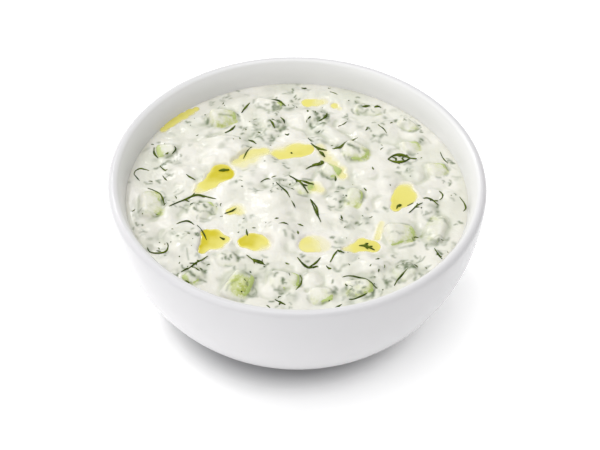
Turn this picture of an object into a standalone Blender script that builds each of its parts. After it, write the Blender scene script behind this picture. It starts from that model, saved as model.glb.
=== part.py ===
"""A round white bowl filled with tzatziki: strained yoghurt with diced cucumber.

Metres, +Z up. The origin is on the ground, on the bowl's axis. The bowl is a turned shell,
the dip a turned filling with an uneven top, and each piece of cucumber that breaks the top
is a solid of its own, half sunk in a pocket of the dip.
"""

import math
from typing import NamedTuple

import bmesh
import bpy
from mathutils import Matrix, Vector, noise

MM = 0.001

# ---------------------------------------------------------------- the bowl
RIM_RADIUS = 70.0 * MM  # outside, at the rim
RIM_HEIGHT = 62.0 * MM  # ground to the top of the lip
BELLY_DEPTH = 67.07 * MM  # below the rim, where the outside curve would close on the axis
BELLY_POWER = 2.365  # 2 would be an ellipse, more is fuller in the belly
LIP_WIDTH = 4.0 * MM
FOOT_RADIUS = 33.0 * MM  # outside of the foot ring
FOOT_WIDTH = 3.5 * MM
FOOT_HEIGHT = 2.6 * MM  # where the belly turns in to the foot ring
FOOT_ROUND = 0.5 * MM
RECESS_HEIGHT = 1.9 * MM  # hollow of the base inside the foot ring
WELL_RADIUS = 64.4 * MM  # inside of the bowl, under the lip
WELL_DEPTH = 56.0 * MM
WELL_POWER = 2.45
LIP_FLARE = 1.6 * MM  # how much the inside opens out at the lip
FLARE_DEPTH = 4.0 * MM
TURN_STEPS = 52
BELLY_POINTS = 9
WELL_POINTS = 8
LIP_POINTS = 5

# ---------------------------------------------------------------- the dip
GAP = 0.35 * MM  # kept between solids that touch
DIP_LEVEL = 52.4 * MM  # where the dip meets the bowl
DIP_DOME = 1.0 * MM  # its middle stands this much higher
WAVE_HEIGHT = 0.5 * MM
WAVE_LENGTH = 17.0 * MM
SKIN_RINGS = 13
LAP_SHARE = 0.45  # how far the dip laps up a piece, as a share of the piece's rise
LAP_REACH = 0.62  # how far out it starts to rise, as a share of the piece's length

# ---------------------------------------------------------------- the cucumber
PIECE_DEPTH_SHARE = 0.78  # a piece's depth as a share of its width
PIECE_ROUND_SHARE = 0.24  # its edges' rounding as a share of its width
PIECE_ROUND_STEPS = 2
PIECE_TAPER = 0.8  # its lower and far ends are this much narrower
POCKET_GAP = 1.15 * GAP  # the taper narrows it towards the pocket's bottom
POCKET_CHAMFER = 2 - math.sqrt(2)  # the chamfer that just clears a rounding of 1
POCKET_SWEEP = 20.0 * MM  # a pocket stays open upwards


class Piece(NamedTuple):
    """A piece of cucumber: millimetres and degrees, `toward` the way its top leans."""

    x: float
    y: float
    length: float
    width: float
    yaw: float
    lean: float
    toward: float
    rise: float


class Mound(NamedTuple):
    """A swelling of the dip over a piece that is quite sunk, in millimetres."""

    x: float
    y: float
    reach_x: float
    reach_y: float
    height: float


PIECES = (
    # the back
    Piece(-30.5, 40.0, 13.0, 12.0, 20, 20, -45, 2.2),
    Piece(-12.5, 49.0, 13.0, 9.0, -10, 10, -90, 1.0),
    Piece(-10.0, 36.5, 10.0, 8.0, 5, 8, -90, 0.9),
    Piece(6.5, 41.5, 11.0, 10.5, 0, 12, -60, 1.4),
    Piece(27.5, 47.5, 13.0, 8.0, -5, 8, -90, 0.9),
    Piece(43.0, 39.0, 10.0, 8.0, -45, 8, -90, 0.7),
    # the middle, left to right
    Piece(-51.0, 20.0, 9.0, 8.5, 10, 15, -60, 1.6),
    Piece(3.0, 1.0, 9.5, 9.0, 25, 12, -60, 1.2),
    Piece(12.5, 10.5, 9.5, 9.0, -20, 10, -60, 1.3),
    Piece(22.0, 21.5, 13.0, 12.0, -15, 14, -50, 2.4),
    Piece(43.5, 26.0, 9.5, 9.0, 20, 12, -30, 1.2),
    Piece(53.0, 13.5, 10.0, 10.0, 15, 10, -30, 1.4),
    Piece(21.0, -4.0, 11.0, 8.5, 80, 14, -60, 1.7),
    Piece(-54.0, -9.5, 16.0, 11.0, 100, 10, 20, 1.6),
    Piece(-34.5, -12.0, 12.0, 11.0, 30, 10, -45, 1.2),
    Piece(37.5, -22.0, 13.5, 12.5, 15, 16, -40, 2.6),
    Piece(51.0, -18.5, 16.0, 10.0, 68, 10, 160, 1.7),
    # the front, left to right
    Piece(-35.5, -44.5, 8.5, 8.0, 52, 12, -70, 1.3),
    Piece(-24.0, -36.5, 9.0, 8.5, 10, 8, -90, 1.0),
    Piece(-19.5, -49.0, 15.0, 12.0, 68, 16, -70, 2.5),
    Piece(-3.5, -46.0, 13.0, 11.0, 0, 10, -90, 1.6),
    Piece(9.5, -52.0, 9.5, 9.0, 10, 12, -90, 1.2),
    Piece(22.5, -48.0, 12.0, 9.5, 15, 10, -90, 1.4),
    Piece(39.0, -39.5, 10.0, 9.0, 45, 8, -90, 1.0),
)

MOUNDS = (
    Mound(-27.5, 20.5, 9.5, 8.0, 2.2),
    Mound(-39.5, -29.0, 7.5, 10.0, 2.3),
    Mound(-7.0, -7.0, 9.0, 9.0, 2.2),
    Mound(-5.0, -23.0, 6.5, 6.5, 2.0),
    Mound(47.0, -7.5, 4.5, 5.0, 1.4),
    Mound(16.0, -36.5, 6.0, 5.0, 1.1),
    Mound(31.0, 35.0, 8.0, 6.0, 0.9),
    Mound(-47.0, 33.0, 7.0, 7.0, 0.9),
)


# ---------------------------------------------------------------- outlines
def closing_curve(radius, depth, power, angle):
    """A point (radius, depth) of the curve that starts upright at the rim and closes below."""
    share = 2 / power
    return radius * math.cos(angle) ** share, depth * math.sin(angle) ** share


def belly_profile():
    """The outside from under the lip down to the top of the foot ring."""
    lip_round = LIP_WIDTH / 2
    first = math.asin((lip_round / BELLY_DEPTH) ** (BELLY_POWER / 2))
    last = math.asin(((RIM_HEIGHT - FOOT_HEIGHT) / BELLY_DEPTH) ** (BELLY_POWER / 2))
    points = []
    for i in range(BELLY_POINTS + 1):
        angle = first + (last - first) * i / BELLY_POINTS
        radius, depth = closing_curve(RIM_RADIUS, BELLY_DEPTH, BELLY_POWER, angle)
        points.append((radius, RIM_HEIGHT - depth))
    return points


def well_profile(bottom_up_to):
    """The inside from the axis up to the given depth below the rim."""
    last = math.asin((bottom_up_to / WELL_DEPTH) ** (WELL_POWER / 2))
    points = []
    for i in range(WELL_POINTS + 1):
        angle = math.pi / 2 + (last - math.pi / 2) * i / WELL_POINTS
        radius, depth = closing_curve(WELL_RADIUS, WELL_DEPTH, WELL_POWER, angle)
        flare = LIP_FLARE * math.exp(-((depth / FLARE_DEPTH) ** 2))
        points.append((radius + flare, RIM_HEIGHT - depth))
    points[0] = (0.0, RIM_HEIGHT - WELL_DEPTH)
    return points


def lip_profile():
    """The round lip, from its inside over the top to its outside."""
    lip_round = LIP_WIDTH / 2
    points = []
    for i in range(1, LIP_POINTS + 1):
        angle = math.pi * (1 - i / (LIP_POINTS + 1))
        radius = RIM_RADIUS - lip_round + lip_round * math.cos(angle)
        points.append((radius, RIM_HEIGHT - lip_round + lip_round * math.sin(angle)))
    return points


def foot_profile():
    """The foot ring and the shallow hollow inside it, ending on the axis."""
    inside = FOOT_RADIUS - FOOT_WIDTH
    return [
        (FOOT_RADIUS + FOOT_ROUND, FOOT_HEIGHT - FOOT_ROUND),
        (FOOT_RADIUS, FOOT_ROUND),
        (FOOT_RADIUS - FOOT_ROUND, 0.0),
        (inside + FOOT_ROUND, 0.0),
        (inside, FOOT_ROUND),
        (inside - FOOT_ROUND, RECESS_HEIGHT),
        (0.0, RECESS_HEIGHT),
    ]


# ---------------------------------------------------------------- making objects
def clear_scene():
    for obj in list(bpy.data.objects):
        bpy.data.objects.remove(obj, do_unlink=True)


def new_collection(name):
    collection = bpy.data.collections.new(name)
    bpy.context.scene.collection.children.link(collection)
    return collection


def new_material(name, color, roughness, metallic=0.0):
    material = bpy.data.materials.new(name)
    material.use_nodes = True
    shader = material.node_tree.nodes["Principled BSDF"]
    shader.inputs["Base Color"].default_value = (*color, 1.0)
    shader.inputs["Roughness"].default_value = roughness
    shader.inputs["Metallic"].default_value = metallic
    material.diffuse_color = (*color, 1.0)
    return material


def turned_object(name, profile):
    """A profile of (radius, height) points turned round the Z axis."""
    mesh = bpy.data.meshes.new(name)
    edges = [(i, i + 1) for i in range(len(profile) - 1)]
    mesh.from_pydata([(radius, 0.0, height) for radius, height in profile], edges, [])
    obj = bpy.data.objects.new(name, mesh)
    bpy.context.scene.collection.objects.link(obj)
    turn = obj.modifiers.new("Turn", "SCREW")
    turn.axis = "Z"
    turn.angle = 2 * math.pi
    turn.steps = TURN_STEPS
    turn.render_steps = TURN_STEPS
    turn.use_merge_vertices = True
    turn.merge_threshold = 0.01 * MM
    turn.use_smooth_shade = True
    return obj


def finished_mesh(obj):
    """The object's mesh with its modifiers applied, and the object's modifiers removed."""
    bpy.context.view_layer.update()
    graph = bpy.context.evaluated_depsgraph_get()
    mesh = bpy.data.meshes.new_from_object(obj.evaluated_get(graph))
    obj.modifiers.clear()
    obj.data = mesh
    return mesh


# ---------------------------------------------------------------- the dip's top
def swell_at(x, y, mound):
    """How much one sunk piece lifts the top here: a flat-topped, soft-sided swelling."""
    across = (x / MM - mound.x) / mound.reach_x
    along = (y / MM - mound.y) / mound.reach_y
    return mound.height * MM * math.exp(-((across**2 + along**2) ** 1.5))


def lap_at(x, y, piece):
    """How much the dip laps up against one piece here."""
    reach = LAP_REACH * piece.length
    away = math.hypot(x / MM - piece.x, y / MM - piece.y) / reach
    return LAP_SHARE * piece.rise * MM * math.exp(-(away**4))


def level_at(x, y):
    """The dip's top without its swellings: a low dome with soft waves, level at the wall."""
    out = min(math.hypot(x, y) / WELL_RADIUS, 1.0)
    wave = noise.noise(Vector((x, y, 0.0)) / WAVE_LENGTH)
    return DIP_LEVEL + DIP_DOME * (1 - out**2) + WAVE_HEIGHT * wave * (1 - out**4)


def top_at(x, y):
    """The height of the dip's top."""
    swells = sum(swell_at(x, y, mound) for mound in MOUNDS)
    laps = max(lap_at(x, y, piece) for piece in PIECES)
    return level_at(x, y) + swells + laps


# ---------------------------------------------------------------- the sub-parts
def make_bowl():
    profile = well_profile(LIP_WIDTH / 2) + lip_profile() + belly_profile() + foot_profile()
    bowl = turned_object("bowl", profile)
    finished_mesh(bowl).set_sharp_from_angle(angle=math.radians(40))
    return bowl


def make_dip():
    """The filling, a gap inside the bowl's well, with its top raised point by point."""
    well = well_profile(RIM_HEIGHT - DIP_LEVEL)
    wall = [(max(radius - GAP, 0.0), height + GAP) for radius, height in reversed(well)]
    wall[0] = (wall[0][0], DIP_LEVEL)
    edge = wall[0][0]
    skin = [(edge * i / SKIN_RINGS, DIP_LEVEL) for i in range(SKIN_RINGS)]
    dip = turned_object("tzatziki", skin + wall)
    mesh = finished_mesh(dip)
    for vertex in mesh.vertices:
        x, y, z = vertex.co
        if z > DIP_LEVEL - 0.01 * MM:
            vertex.co.z = top_at(x, y)
    return dip


def make_block(name, length, width, rounding, steps, margin=0.0):
    """A block with rounded edges, narrower below and at one end, a margin larger all round."""
    bpy.ops.mesh.primitive_cube_add(size=1.0)
    obj = bpy.context.object
    obj.name = name
    depth = PIECE_DEPTH_SHARE * width
    for vertex in obj.data.vertices:
        corner = vertex.co
        below = PIECE_TAPER if corner.z < 0 else 1.0
        far = PIECE_TAPER if corner.x > 0 else 1.0
        corner.x *= (length + 2 * margin) * below
        corner.y *= (width + 2 * margin) * below * far
        corner.z *= depth + 2 * margin
    edges = obj.modifiers.new("Rounded edges", "BEVEL")
    edges.width = rounding
    edges.segments = steps
    edges.limit_method = "NONE"
    finished_mesh(obj).shade_smooth()
    return obj


def place_of(piece):
    """The matrix that turns a piece, leans it and sets it in the dip."""
    toward = math.radians(piece.toward)
    tip_axis = Vector((-math.sin(toward), math.cos(toward), 0.0))
    turn = Matrix.Rotation(math.radians(piece.yaw), 4, "Z")
    tip = Matrix.Rotation(math.radians(piece.lean), 4, tip_axis)
    x, y = piece.x * MM, piece.y * MM
    half_depth = PIECE_DEPTH_SHARE * piece.width * MM / 2
    height = level_at(x, y) + piece.rise * MM - half_depth
    return Matrix.Translation((x, y, height)) @ tip @ turn


def make_piece(number, piece):
    length, width = piece.length * MM, piece.width * MM
    rounding = PIECE_ROUND_SHARE * width
    name = f"cucumber_{number:02d}"
    obj = make_block(name, length, width, rounding, PIECE_ROUND_STEPS)
    obj.matrix_world = place_of(piece)
    return obj


def make_pocket_cutter(number, piece):
    """A chamfered block that clears the piece, swept upwards so that its pocket stays open."""
    length, width = piece.length * MM, piece.width * MM
    chamfer = POCKET_CHAMFER * PIECE_ROUND_SHARE * width
    cutter = make_block(f"pocket_{number:02d}", length, width, chamfer, 1, POCKET_GAP)
    cutter.data.transform(place_of(piece))
    hull = bmesh.new()
    for vertex in cutter.data.vertices:
        hull.verts.new(vertex.co)
        hull.verts.new(vertex.co + Vector((0.0, 0.0, POCKET_SWEEP)))
    made = bmesh.ops.convex_hull(hull, input=hull.verts)
    inside = [item for item in made["geom_interior"] if isinstance(item, bmesh.types.BMVert)]
    bmesh.ops.delete(hull, geom=inside, context="VERTS")
    bmesh.ops.recalc_face_normals(hull, faces=hull.faces)
    hull.to_mesh(cutter.data)
    hull.free()
    cutter.hide_render = True
    cutter.display_type = "WIRE"
    return cutter


def cut_pockets(dip, cutters):
    pockets = dip.modifiers.new("Pockets", "BOOLEAN")
    pockets.operation = "DIFFERENCE"
    pockets.operand_type = "COLLECTION"
    pockets.collection = cutters
    pockets.solver = "EXACT"


def move_to(obj, collection):
    for held in list(obj.users_collection):
        held.objects.unlink(obj)
    collection.objects.link(obj)


def main():
    clear_scene()
    whole = new_collection("tzatziki_bowl")
    cutters = new_collection("pocket_cutters")
    glaze = new_material("glaze", (0.86, 0.86, 0.86), 0.16)
    yoghurt = new_material("yoghurt", (0.84, 0.85, 0.76), 0.34)
    flesh = new_material("cucumber", (0.62, 0.72, 0.38), 0.30)

    standing = bpy.data.objects.new("standing_place", None)
    whole.objects.link(standing)

    bowl = make_bowl()
    dip = make_dip()
    pieces = [make_piece(number, piece) for number, piece in enumerate(PIECES, start=1)]
    for obj, material in [(bowl, glaze), (dip, yoghurt)] + [(piece, flesh) for piece in pieces]:
        obj.data.materials.append(material)
        move_to(obj, whole)
        obj.parent = standing
    for number, piece in enumerate(PIECES, start=1):
        move_to(make_pocket_cutter(number, piece), cutters)
    cut_pockets(dip, cutters)


main()
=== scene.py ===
"""The looks of a bowl of tzatziki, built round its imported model.

The glazed bowl is extruded ring by ring from one circle. The dip is a fine sheet that is
pressed, heaped and draped over the diced cucumber, and then closed down into the bowl. Oil
lies level in its hollows, and dill lies on and in it.
"""

import logging
import math
import random
from dataclasses import dataclass, field
from enum import Enum
from itertools import pairwise
from typing import Any, Iterable, NamedTuple, Sequence

import bmesh
import bpy
import numpy as np
from mathutils import Matrix, Vector, noise
from mathutils.bvhtree import BVHTree


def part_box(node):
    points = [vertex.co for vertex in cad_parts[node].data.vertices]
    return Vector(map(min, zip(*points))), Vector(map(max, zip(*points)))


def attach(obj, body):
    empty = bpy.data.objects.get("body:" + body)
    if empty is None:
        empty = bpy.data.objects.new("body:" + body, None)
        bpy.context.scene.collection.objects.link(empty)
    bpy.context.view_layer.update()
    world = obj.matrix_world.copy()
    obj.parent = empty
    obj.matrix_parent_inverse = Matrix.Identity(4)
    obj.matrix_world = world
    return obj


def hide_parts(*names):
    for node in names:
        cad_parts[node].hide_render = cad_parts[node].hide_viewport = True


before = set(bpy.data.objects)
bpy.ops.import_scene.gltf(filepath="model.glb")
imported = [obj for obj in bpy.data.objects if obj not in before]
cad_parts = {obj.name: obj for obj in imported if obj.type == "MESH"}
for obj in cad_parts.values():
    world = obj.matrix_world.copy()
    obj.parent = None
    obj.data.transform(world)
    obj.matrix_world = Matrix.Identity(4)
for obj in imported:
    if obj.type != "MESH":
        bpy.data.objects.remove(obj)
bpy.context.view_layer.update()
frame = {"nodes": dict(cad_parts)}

LOG = logging.getLogger("tzatziki")
MM = 0.001
BODY = "root"

Color = tuple[float, float, float]
Field = np.ndarray  # numbers over the dip's grid, or over some places of it
Spot = tuple[float, float]  # a place on the dip, in millimetres

DOWN = Vector((0.0, 0.0, -1.0))
HIGH_ABOVE = 0.1  # a height over everything, to look down from

# A Mix node's sockets when it mixes colours.
MIX_SHARE, MIX_FIRST, MIX_SECOND, MIX_RESULT = 0, 6, 7, 2


# ------------------------------------------------------------------ small helpers
def smoothstep(value: Field, low: float, high: float) -> Field:
    """Rise smoothly from 0 at low to 1 at high.

    Args:
        value: Numbers, or one number.
        low: Where the rise starts.
        high: Where it ends.

    Returns:
        Numbers from 0 to 1, as many as were given.
    """
    share = np.clip((value - low) / (high - low), 0.0, 1.0)
    return share * share * (3.0 - 2.0 * share)


def select_only(piece: bpy.types.Object) -> None:
    """Make one object the only selected and the active one.

    Args:
        piece: The object.
    """
    for other in bpy.context.selected_objects:
        other.select_set(False)
    piece.select_set(True)
    bpy.context.view_layer.objects.active = piece


def deselect_all() -> None:
    """Leave nothing selected."""
    for other in bpy.context.selected_objects:
        other.select_set(False)


def named(name: str) -> bpy.types.Object:
    """Name the object that was just added, and its mesh.

    Args:
        name: The name.

    Returns:
        The object.
    """
    piece = bpy.context.object
    piece.name = name
    piece.data.name = name
    return piece


def dress(piece: bpy.types.Object, material: bpy.types.Material) -> None:
    """Give a piece one material.

    Args:
        piece: The piece.
        material: Its finish.
    """
    piece.data.materials.clear()
    piece.data.materials.append(material)


def paint(piece: bpy.types.Object, name: str, values: Field) -> None:
    """Store one number for each point of a piece, for its finish to read.

    Args:
        piece: The piece, a mesh.
        name: The attribute's name.
        values: A number for each of its points.
    """
    attribute = piece.data.attributes.new(name, "FLOAT", "POINT")
    attribute.data.foreach_set("value", np.asarray(values, np.float32).ravel())


# ------------------------------------------------------------------ shader arithmetic
class Value:
    """A socket of a finish's nodes that takes part in arithmetic."""

    def __init__(self, nodes: "Nodes", socket: bpy.types.NodeSocket) -> None:
        """Wrap an output socket.

        Args:
            nodes: The nodes it belongs to.
            socket: The output socket.
        """
        self.nodes = nodes
        self.socket = socket

    def _math(self, operation: str, first: Any, second: Any) -> "Value":
        """Add a Math node.

        Args:
            operation: The node's operation.
            first: A value or a number.
            second: A value or a number.

        Returns:
            The node's result.
        """
        settings = {"operation": operation}
        return self.nodes.add("ShaderNodeMath", settings, {0: first, 1: second})

    def __add__(self, other: Any) -> "Value":
        """Add."""
        return self._math("ADD", self, other)

    def __radd__(self, other: Any) -> "Value":
        """Add to a number."""
        return self._math("ADD", other, self)

    def __sub__(self, other: Any) -> "Value":
        """Subtract."""
        return self._math("SUBTRACT", self, other)

    def __rsub__(self, other: Any) -> "Value":
        """Subtract from a number."""
        return self._math("SUBTRACT", other, self)

    def __mul__(self, other: Any) -> "Value":
        """Multiply."""
        return self._math("MULTIPLY", self, other)

    def __rmul__(self, other: Any) -> "Value":
        """Multiply a number."""
        return self._math("MULTIPLY", other, self)

    def rise(self, low: float, high: float) -> "Value":
        """Rise smoothly from 0 at low to 1 at high.

        Args:
            low: Where the rise starts.
            high: Where it ends.

        Returns:
            The smooth step.
        """
        settings = {"interpolation_type": "SMOOTHSTEP"}
        values = {"Value": self, "From Min": low, "From Max": high}
        return self.nodes.add("ShaderNodeMapRange", settings, values, "Result")


class Nodes:
    """The node tree of one finish, with its Principled shader."""

    def __init__(self, name: str) -> None:
        """Start a material.

        Args:
            name: The material's name.
        """
        self.material = bpy.data.materials.new(name)
        self.material.use_nodes = True
        self.tree = self.material.node_tree
        self.shader = self.tree.nodes["Principled BSDF"]

    def add(
        self, kind: str, settings: dict[str, Any], values: dict[Any, Any], result: Any = 0
    ) -> Value:
        """Add a node of any kind.

        Args:
            kind: The node's type.
            settings: Its own settings, set first.
            values: What its sockets hold: a Value to link, or a number or colour.
            result: The name or number of the output that is wanted.

        Returns:
            That output.
        """
        node = self.tree.nodes.new(kind)
        for name, setting in settings.items():
            setattr(node, name, setting)
        for name, value in values.items():
            self.feed(node.inputs[name], value)
        return Value(self, node.outputs[result])

    def feed(self, socket: bpy.types.NodeSocket, value: Any) -> None:
        """Link a value to a socket, or set the socket to it.

        Args:
            socket: The input socket.
            value: A Value, a number or a colour.
        """
        if isinstance(value, Value):
            self.tree.links.new(value.socket, socket)
        elif isinstance(value, tuple) and len(value) == 3 and socket.type == "RGBA":
            socket.default_value = (*value, 1.0)
        else:
            socket.default_value = value

    def place(self) -> Value:
        """The point's place in metres."""
        return self.add("ShaderNodeTexCoord", {}, {}, "Object")

    def attribute(self, name: str) -> Value:
        """One number stored on the piece's points."""
        settings = {"attribute_name": name}
        return self.add("ShaderNodeAttribute", settings, {}, "Fac")

    def clouds(self, size: float, detail: float = 2.0, rough: float = 0.5) -> Value:
        """A soft three-dimensional noise.

        Args:
            size: The size of its features in metres.
            detail: How many finer layers it has.
            rough: How strong they are.

        Returns:
            Numbers from 0 to 1.
        """
        values = {"Vector": self.place(), "Scale": 1 / size}
        values |= {"Detail": detail, "Roughness": rough}
        return self.add("ShaderNodeTexNoise", {}, values, "Fac")

    def mix(self, share: Any, first: Any, second: Any) -> Value:
        """Mix two colours.

        Args:
            share: How much of the second, from 0 to 1.
            first: A colour.
            second: A colour.

        Returns:
            The mixed colour.
        """
        settings = {"data_type": "RGBA", "clamp_factor": True}
        values = {MIX_SHARE: share, MIX_FIRST: first, MIX_SECOND: second}
        return self.add("ShaderNodeMix", settings, values, MIX_RESULT)

    def bump(self, height: Value, depth: float) -> None:
        """Give the shader fine relief.

        Args:
            height: The relief, from 0 to 1.
            depth: How deep 1 is, in metres.
        """
        values = {"Height": height, "Distance": depth, "Strength": 1.0}
        normal = self.add("ShaderNodeBump", {}, values, "Normal")
        self.feed(self.shader.inputs["Normal"], normal)

    def set(self, **constants: Any) -> None:
        """Set the shader's own sockets, named with _ for a space.

        Args:
            constants: Numbers, colours or values by socket name.
        """
        for name, value in constants.items():
            self.feed(self.shader.inputs[name.replace("_", " ")], value)


# ------------------------------------------------------------------ finishes
@dataclass(frozen=True)
class Glaze:
    """White glaze over stoneware, with a dry foot; its inside is painted lighter than its outside,
    as painted light.
    """

    # inside: the same glaze painted lighter inside the bowl, as painted light
    inside: Color = (0.715, 0.713, 0.705)
    outside: Color = (0.57, 0.564, 0.575)
    cool: Color = (0.555, 0.551, 0.565)
    body: Color = (0.62, 0.58, 0.52)
    drift_size: float = 38 * MM
    roughness: float = 0.27
    dry_roughness: float = 0.77
    gloss: float = 0.35
    coat: float = 0.12
    dry_height: float = 0.5 * MM
    ripple: float = 0.05 * MM
    ripple_size: float = 7 * MM

    def material(self) -> bpy.types.Material:
        """The finish as a material."""
        nodes = Nodes("glaze")
        drift = nodes.clouds(self.drift_size, 1.0).rise(0.35, 0.7)
        height = nodes.add("ShaderNodeSeparateXYZ", {}, {0: nodes.place()}, "Z")
        tone = nodes.mix(drift * 0.6, self.outside, self.cool)
        # painted light: the inside takes the lighter copy of the glaze colour
        tone = nodes.mix(nodes.attribute("inner"), tone, self.inside)
        dry = 1.0 - height.rise(self.dry_height * 0.5, self.dry_height)
        nodes.set(Base_Color=nodes.mix(dry, tone, self.body))
        nodes.set(Roughness=self.roughness + (self.dry_roughness - self.roughness) * dry)
        nodes.set(IOR=1.5, Specular_IOR_Level=self.gloss)
        nodes.set(Coat_Weight=self.coat, Coat_Roughness=0.1)
        nodes.bump(nodes.clouds(self.ripple_size, 2.0), self.ripple)
        return nodes.material


@dataclass(frozen=True)
class Yoghurt:
    """Strained yoghurt: soft white, tinted over cucumber and oil, with sunk flecks, painted shade in
    its hollows and painted highlight on its ridges.
    """

    white: Color = (0.685, 0.672, 0.615)
    shade: Color = (0.605, 0.598, 0.53)
    # hollow: painted shade for the skin's hollows
    hollow: Color = (0.50, 0.51, 0.42)
    warm: Color = (0.655, 0.628, 0.585)
    tint: Color = (0.495, 0.53, 0.245)
    flesh: Color = (0.35, 0.40, 0.085)
    oiled: Color = (0.69, 0.65, 0.27)
    haze: Color = (0.545, 0.57, 0.455)
    fleck: Color = (0.085, 0.125, 0.05)
    drift_size: float = 11 * MM
    mottle_size: float = 2.1 * MM
    flesh_size: float = 2.4 * MM
    scatter: float = 0.9 * MM
    relief: float = 0.26 * MM
    relief_size: float = 2.2 * MM
    grain_size: float = 0.7 * MM

    def material(self) -> bpy.types.Material:
        """The finish as a material."""
        nodes = Nodes("yoghurt")
        drift = nodes.clouds(self.drift_size, 3.0).rise(0.38, 0.66)
        tone = nodes.mix(drift, self.white, self.shade)
        ridge = nodes.attribute("ridge")
        # painted shade in the hollows and painted highlight on the ridges
        tone = nodes.mix((0.0 - ridge).rise(0.15, 1.1), tone, self.hollow)
        tone = nodes.mix(ridge.rise(0.1, 1.0) * 0.7, tone, self.white)
        tone = nodes.mix(nodes.attribute("haze"), tone, self.haze)
        tone = nodes.mix(nodes.attribute("warmth"), tone, self.warm)
        mottle = nodes.clouds(self.mottle_size, 3.0, 0.65).rise(0.28, 0.72)
        mottled = nodes.attribute("tint") * (0.35 + 1.0 * mottle)
        tone = nodes.mix(mottled.rise(0.0, 0.75), tone, self.tint)
        patches = nodes.clouds(self.flesh_size, 2.0).rise(0.38, 0.6)
        tone = nodes.mix(mottled.rise(0.5, 0.95) * patches, tone, self.flesh)
        tone = nodes.mix(nodes.attribute("oil_stain"), tone, self.oiled)
        tone = nodes.mix(nodes.attribute("fleck"), tone, self.fleck)
        nodes.set(Base_Color=tone, IOR=1.38)
        nodes.set(Roughness=0.14 + 0.16 * nodes.clouds(5 * MM, 2.0))
        nodes.set(Subsurface_Weight=0.35, Subsurface_Scale=self.scatter)
        nodes.set(Subsurface_Radius=(1.0, 0.9, 0.7))
        fine = nodes.clouds(self.grain_size, 1.0)
        nodes.bump(0.7 * nodes.clouds(self.relief_size, 3.0) + 0.3 * fine, self.relief)
        return nodes.material


@dataclass(frozen=True)
class Cucumber:
    """Wet cucumber flesh, painted darker green on the sides away from the light, as painted shade.
    """

    pale: Color = (0.50, 0.56, 0.27)
    green: Color = (0.34, 0.44, 0.10)
    seed: Color = (0.58, 0.61, 0.38)
    drift_size: float = 2.5 * MM
    seed_size: float = 1.1 * MM
    scatter: float = 1.2 * MM
    grain: float = 0.08 * MM
    grain_size: float = 0.9 * MM

    def material(self) -> bpy.types.Material:
        """The finish as a material."""
        nodes = Nodes("cucumber")
        # painted shade: darker green where a piece faces away from the light, mottled by noise
        depth = nodes.attribute("painted_shade_greenness") + 0.5 * (nodes.clouds(self.drift_size, 3.0) - 0.5)
        tone = nodes.mix(depth, self.pale, self.green)
        seeds = nodes.clouds(self.seed_size, 1.0).rise(0.58, 0.72)
        nodes.set(Base_Color=nodes.mix(seeds * 0.6, tone, self.seed), Roughness=0.22, IOR=1.4)
        nodes.set(Subsurface_Weight=0.3, Subsurface_Scale=self.scatter)
        nodes.set(Subsurface_Radius=(0.8, 1.0, 0.5))
        nodes.bump(nodes.clouds(self.grain_size, 2.0), self.grain)
        return nodes.material


@dataclass(frozen=True)
class OliveOil:
    """Olive oil: paler and clearer where it is thin."""

    thin: Color = (0.67, 0.64, 0.35)
    full: Color = (0.645, 0.59, 0.15)
    deep: Color = (0.50, 0.425, 0.008)
    patch_size: float = 4 * MM
    cover: float = 0.95
    clear_depth: float = 0.5  # in millimetres; deeper oil hides what is under it
    sway: float = 0.03 * MM
    sway_size: float = 6 * MM

    def material(self) -> bpy.types.Material:
        """The finish as a material."""
        nodes = Nodes("olive_oil")
        depth = nodes.attribute("oil_depth")
        patchy = depth * (0.6 + 0.8 * nodes.clouds(self.patch_size, 2.0))
        tone = nodes.mix(patchy.rise(0.05, 0.5), self.thin, self.full)
        tone = nodes.mix(patchy.rise(0.5, 1.7), tone, self.deep)
        nodes.set(Base_Color=tone, Roughness=0.07, IOR=1.47)
        nodes.set(Alpha=self.cover * depth.rise(0.0, self.clear_depth))
        nodes.bump(nodes.clouds(self.sway_size, 1.0), self.sway)
        return nodes.material


@dataclass(frozen=True)
class Herb:
    """Dill: deep green, yellower where it is young or oiled."""

    deep: Color = (0.024, 0.046, 0.002)
    young: Color = (0.105, 0.145, 0.006)
    drift_size: float = 4 * MM
    gloss: float = 0.12
    ribs: float = 0.06 * MM
    rib_size: float = 0.5 * MM

    def material(self) -> bpy.types.Material:
        """The finish as a material."""
        nodes = Nodes("dill")
        drift = nodes.clouds(self.drift_size, 3.0, 0.7).rise(0.35, 0.7)
        nodes.set(Base_Color=nodes.mix(drift, self.deep, self.young))
        nodes.set(Roughness=0.5, Specular_IOR_Level=self.gloss)
        nodes.bump(nodes.clouds(self.rib_size, 1.0), self.ribs)
        return nodes.material


# ------------------------------------------------------------------ the bowl
class Ring(NamedTuple):
    """One ring of a turned shape, in metres."""

    radius: float
    height: float


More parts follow.
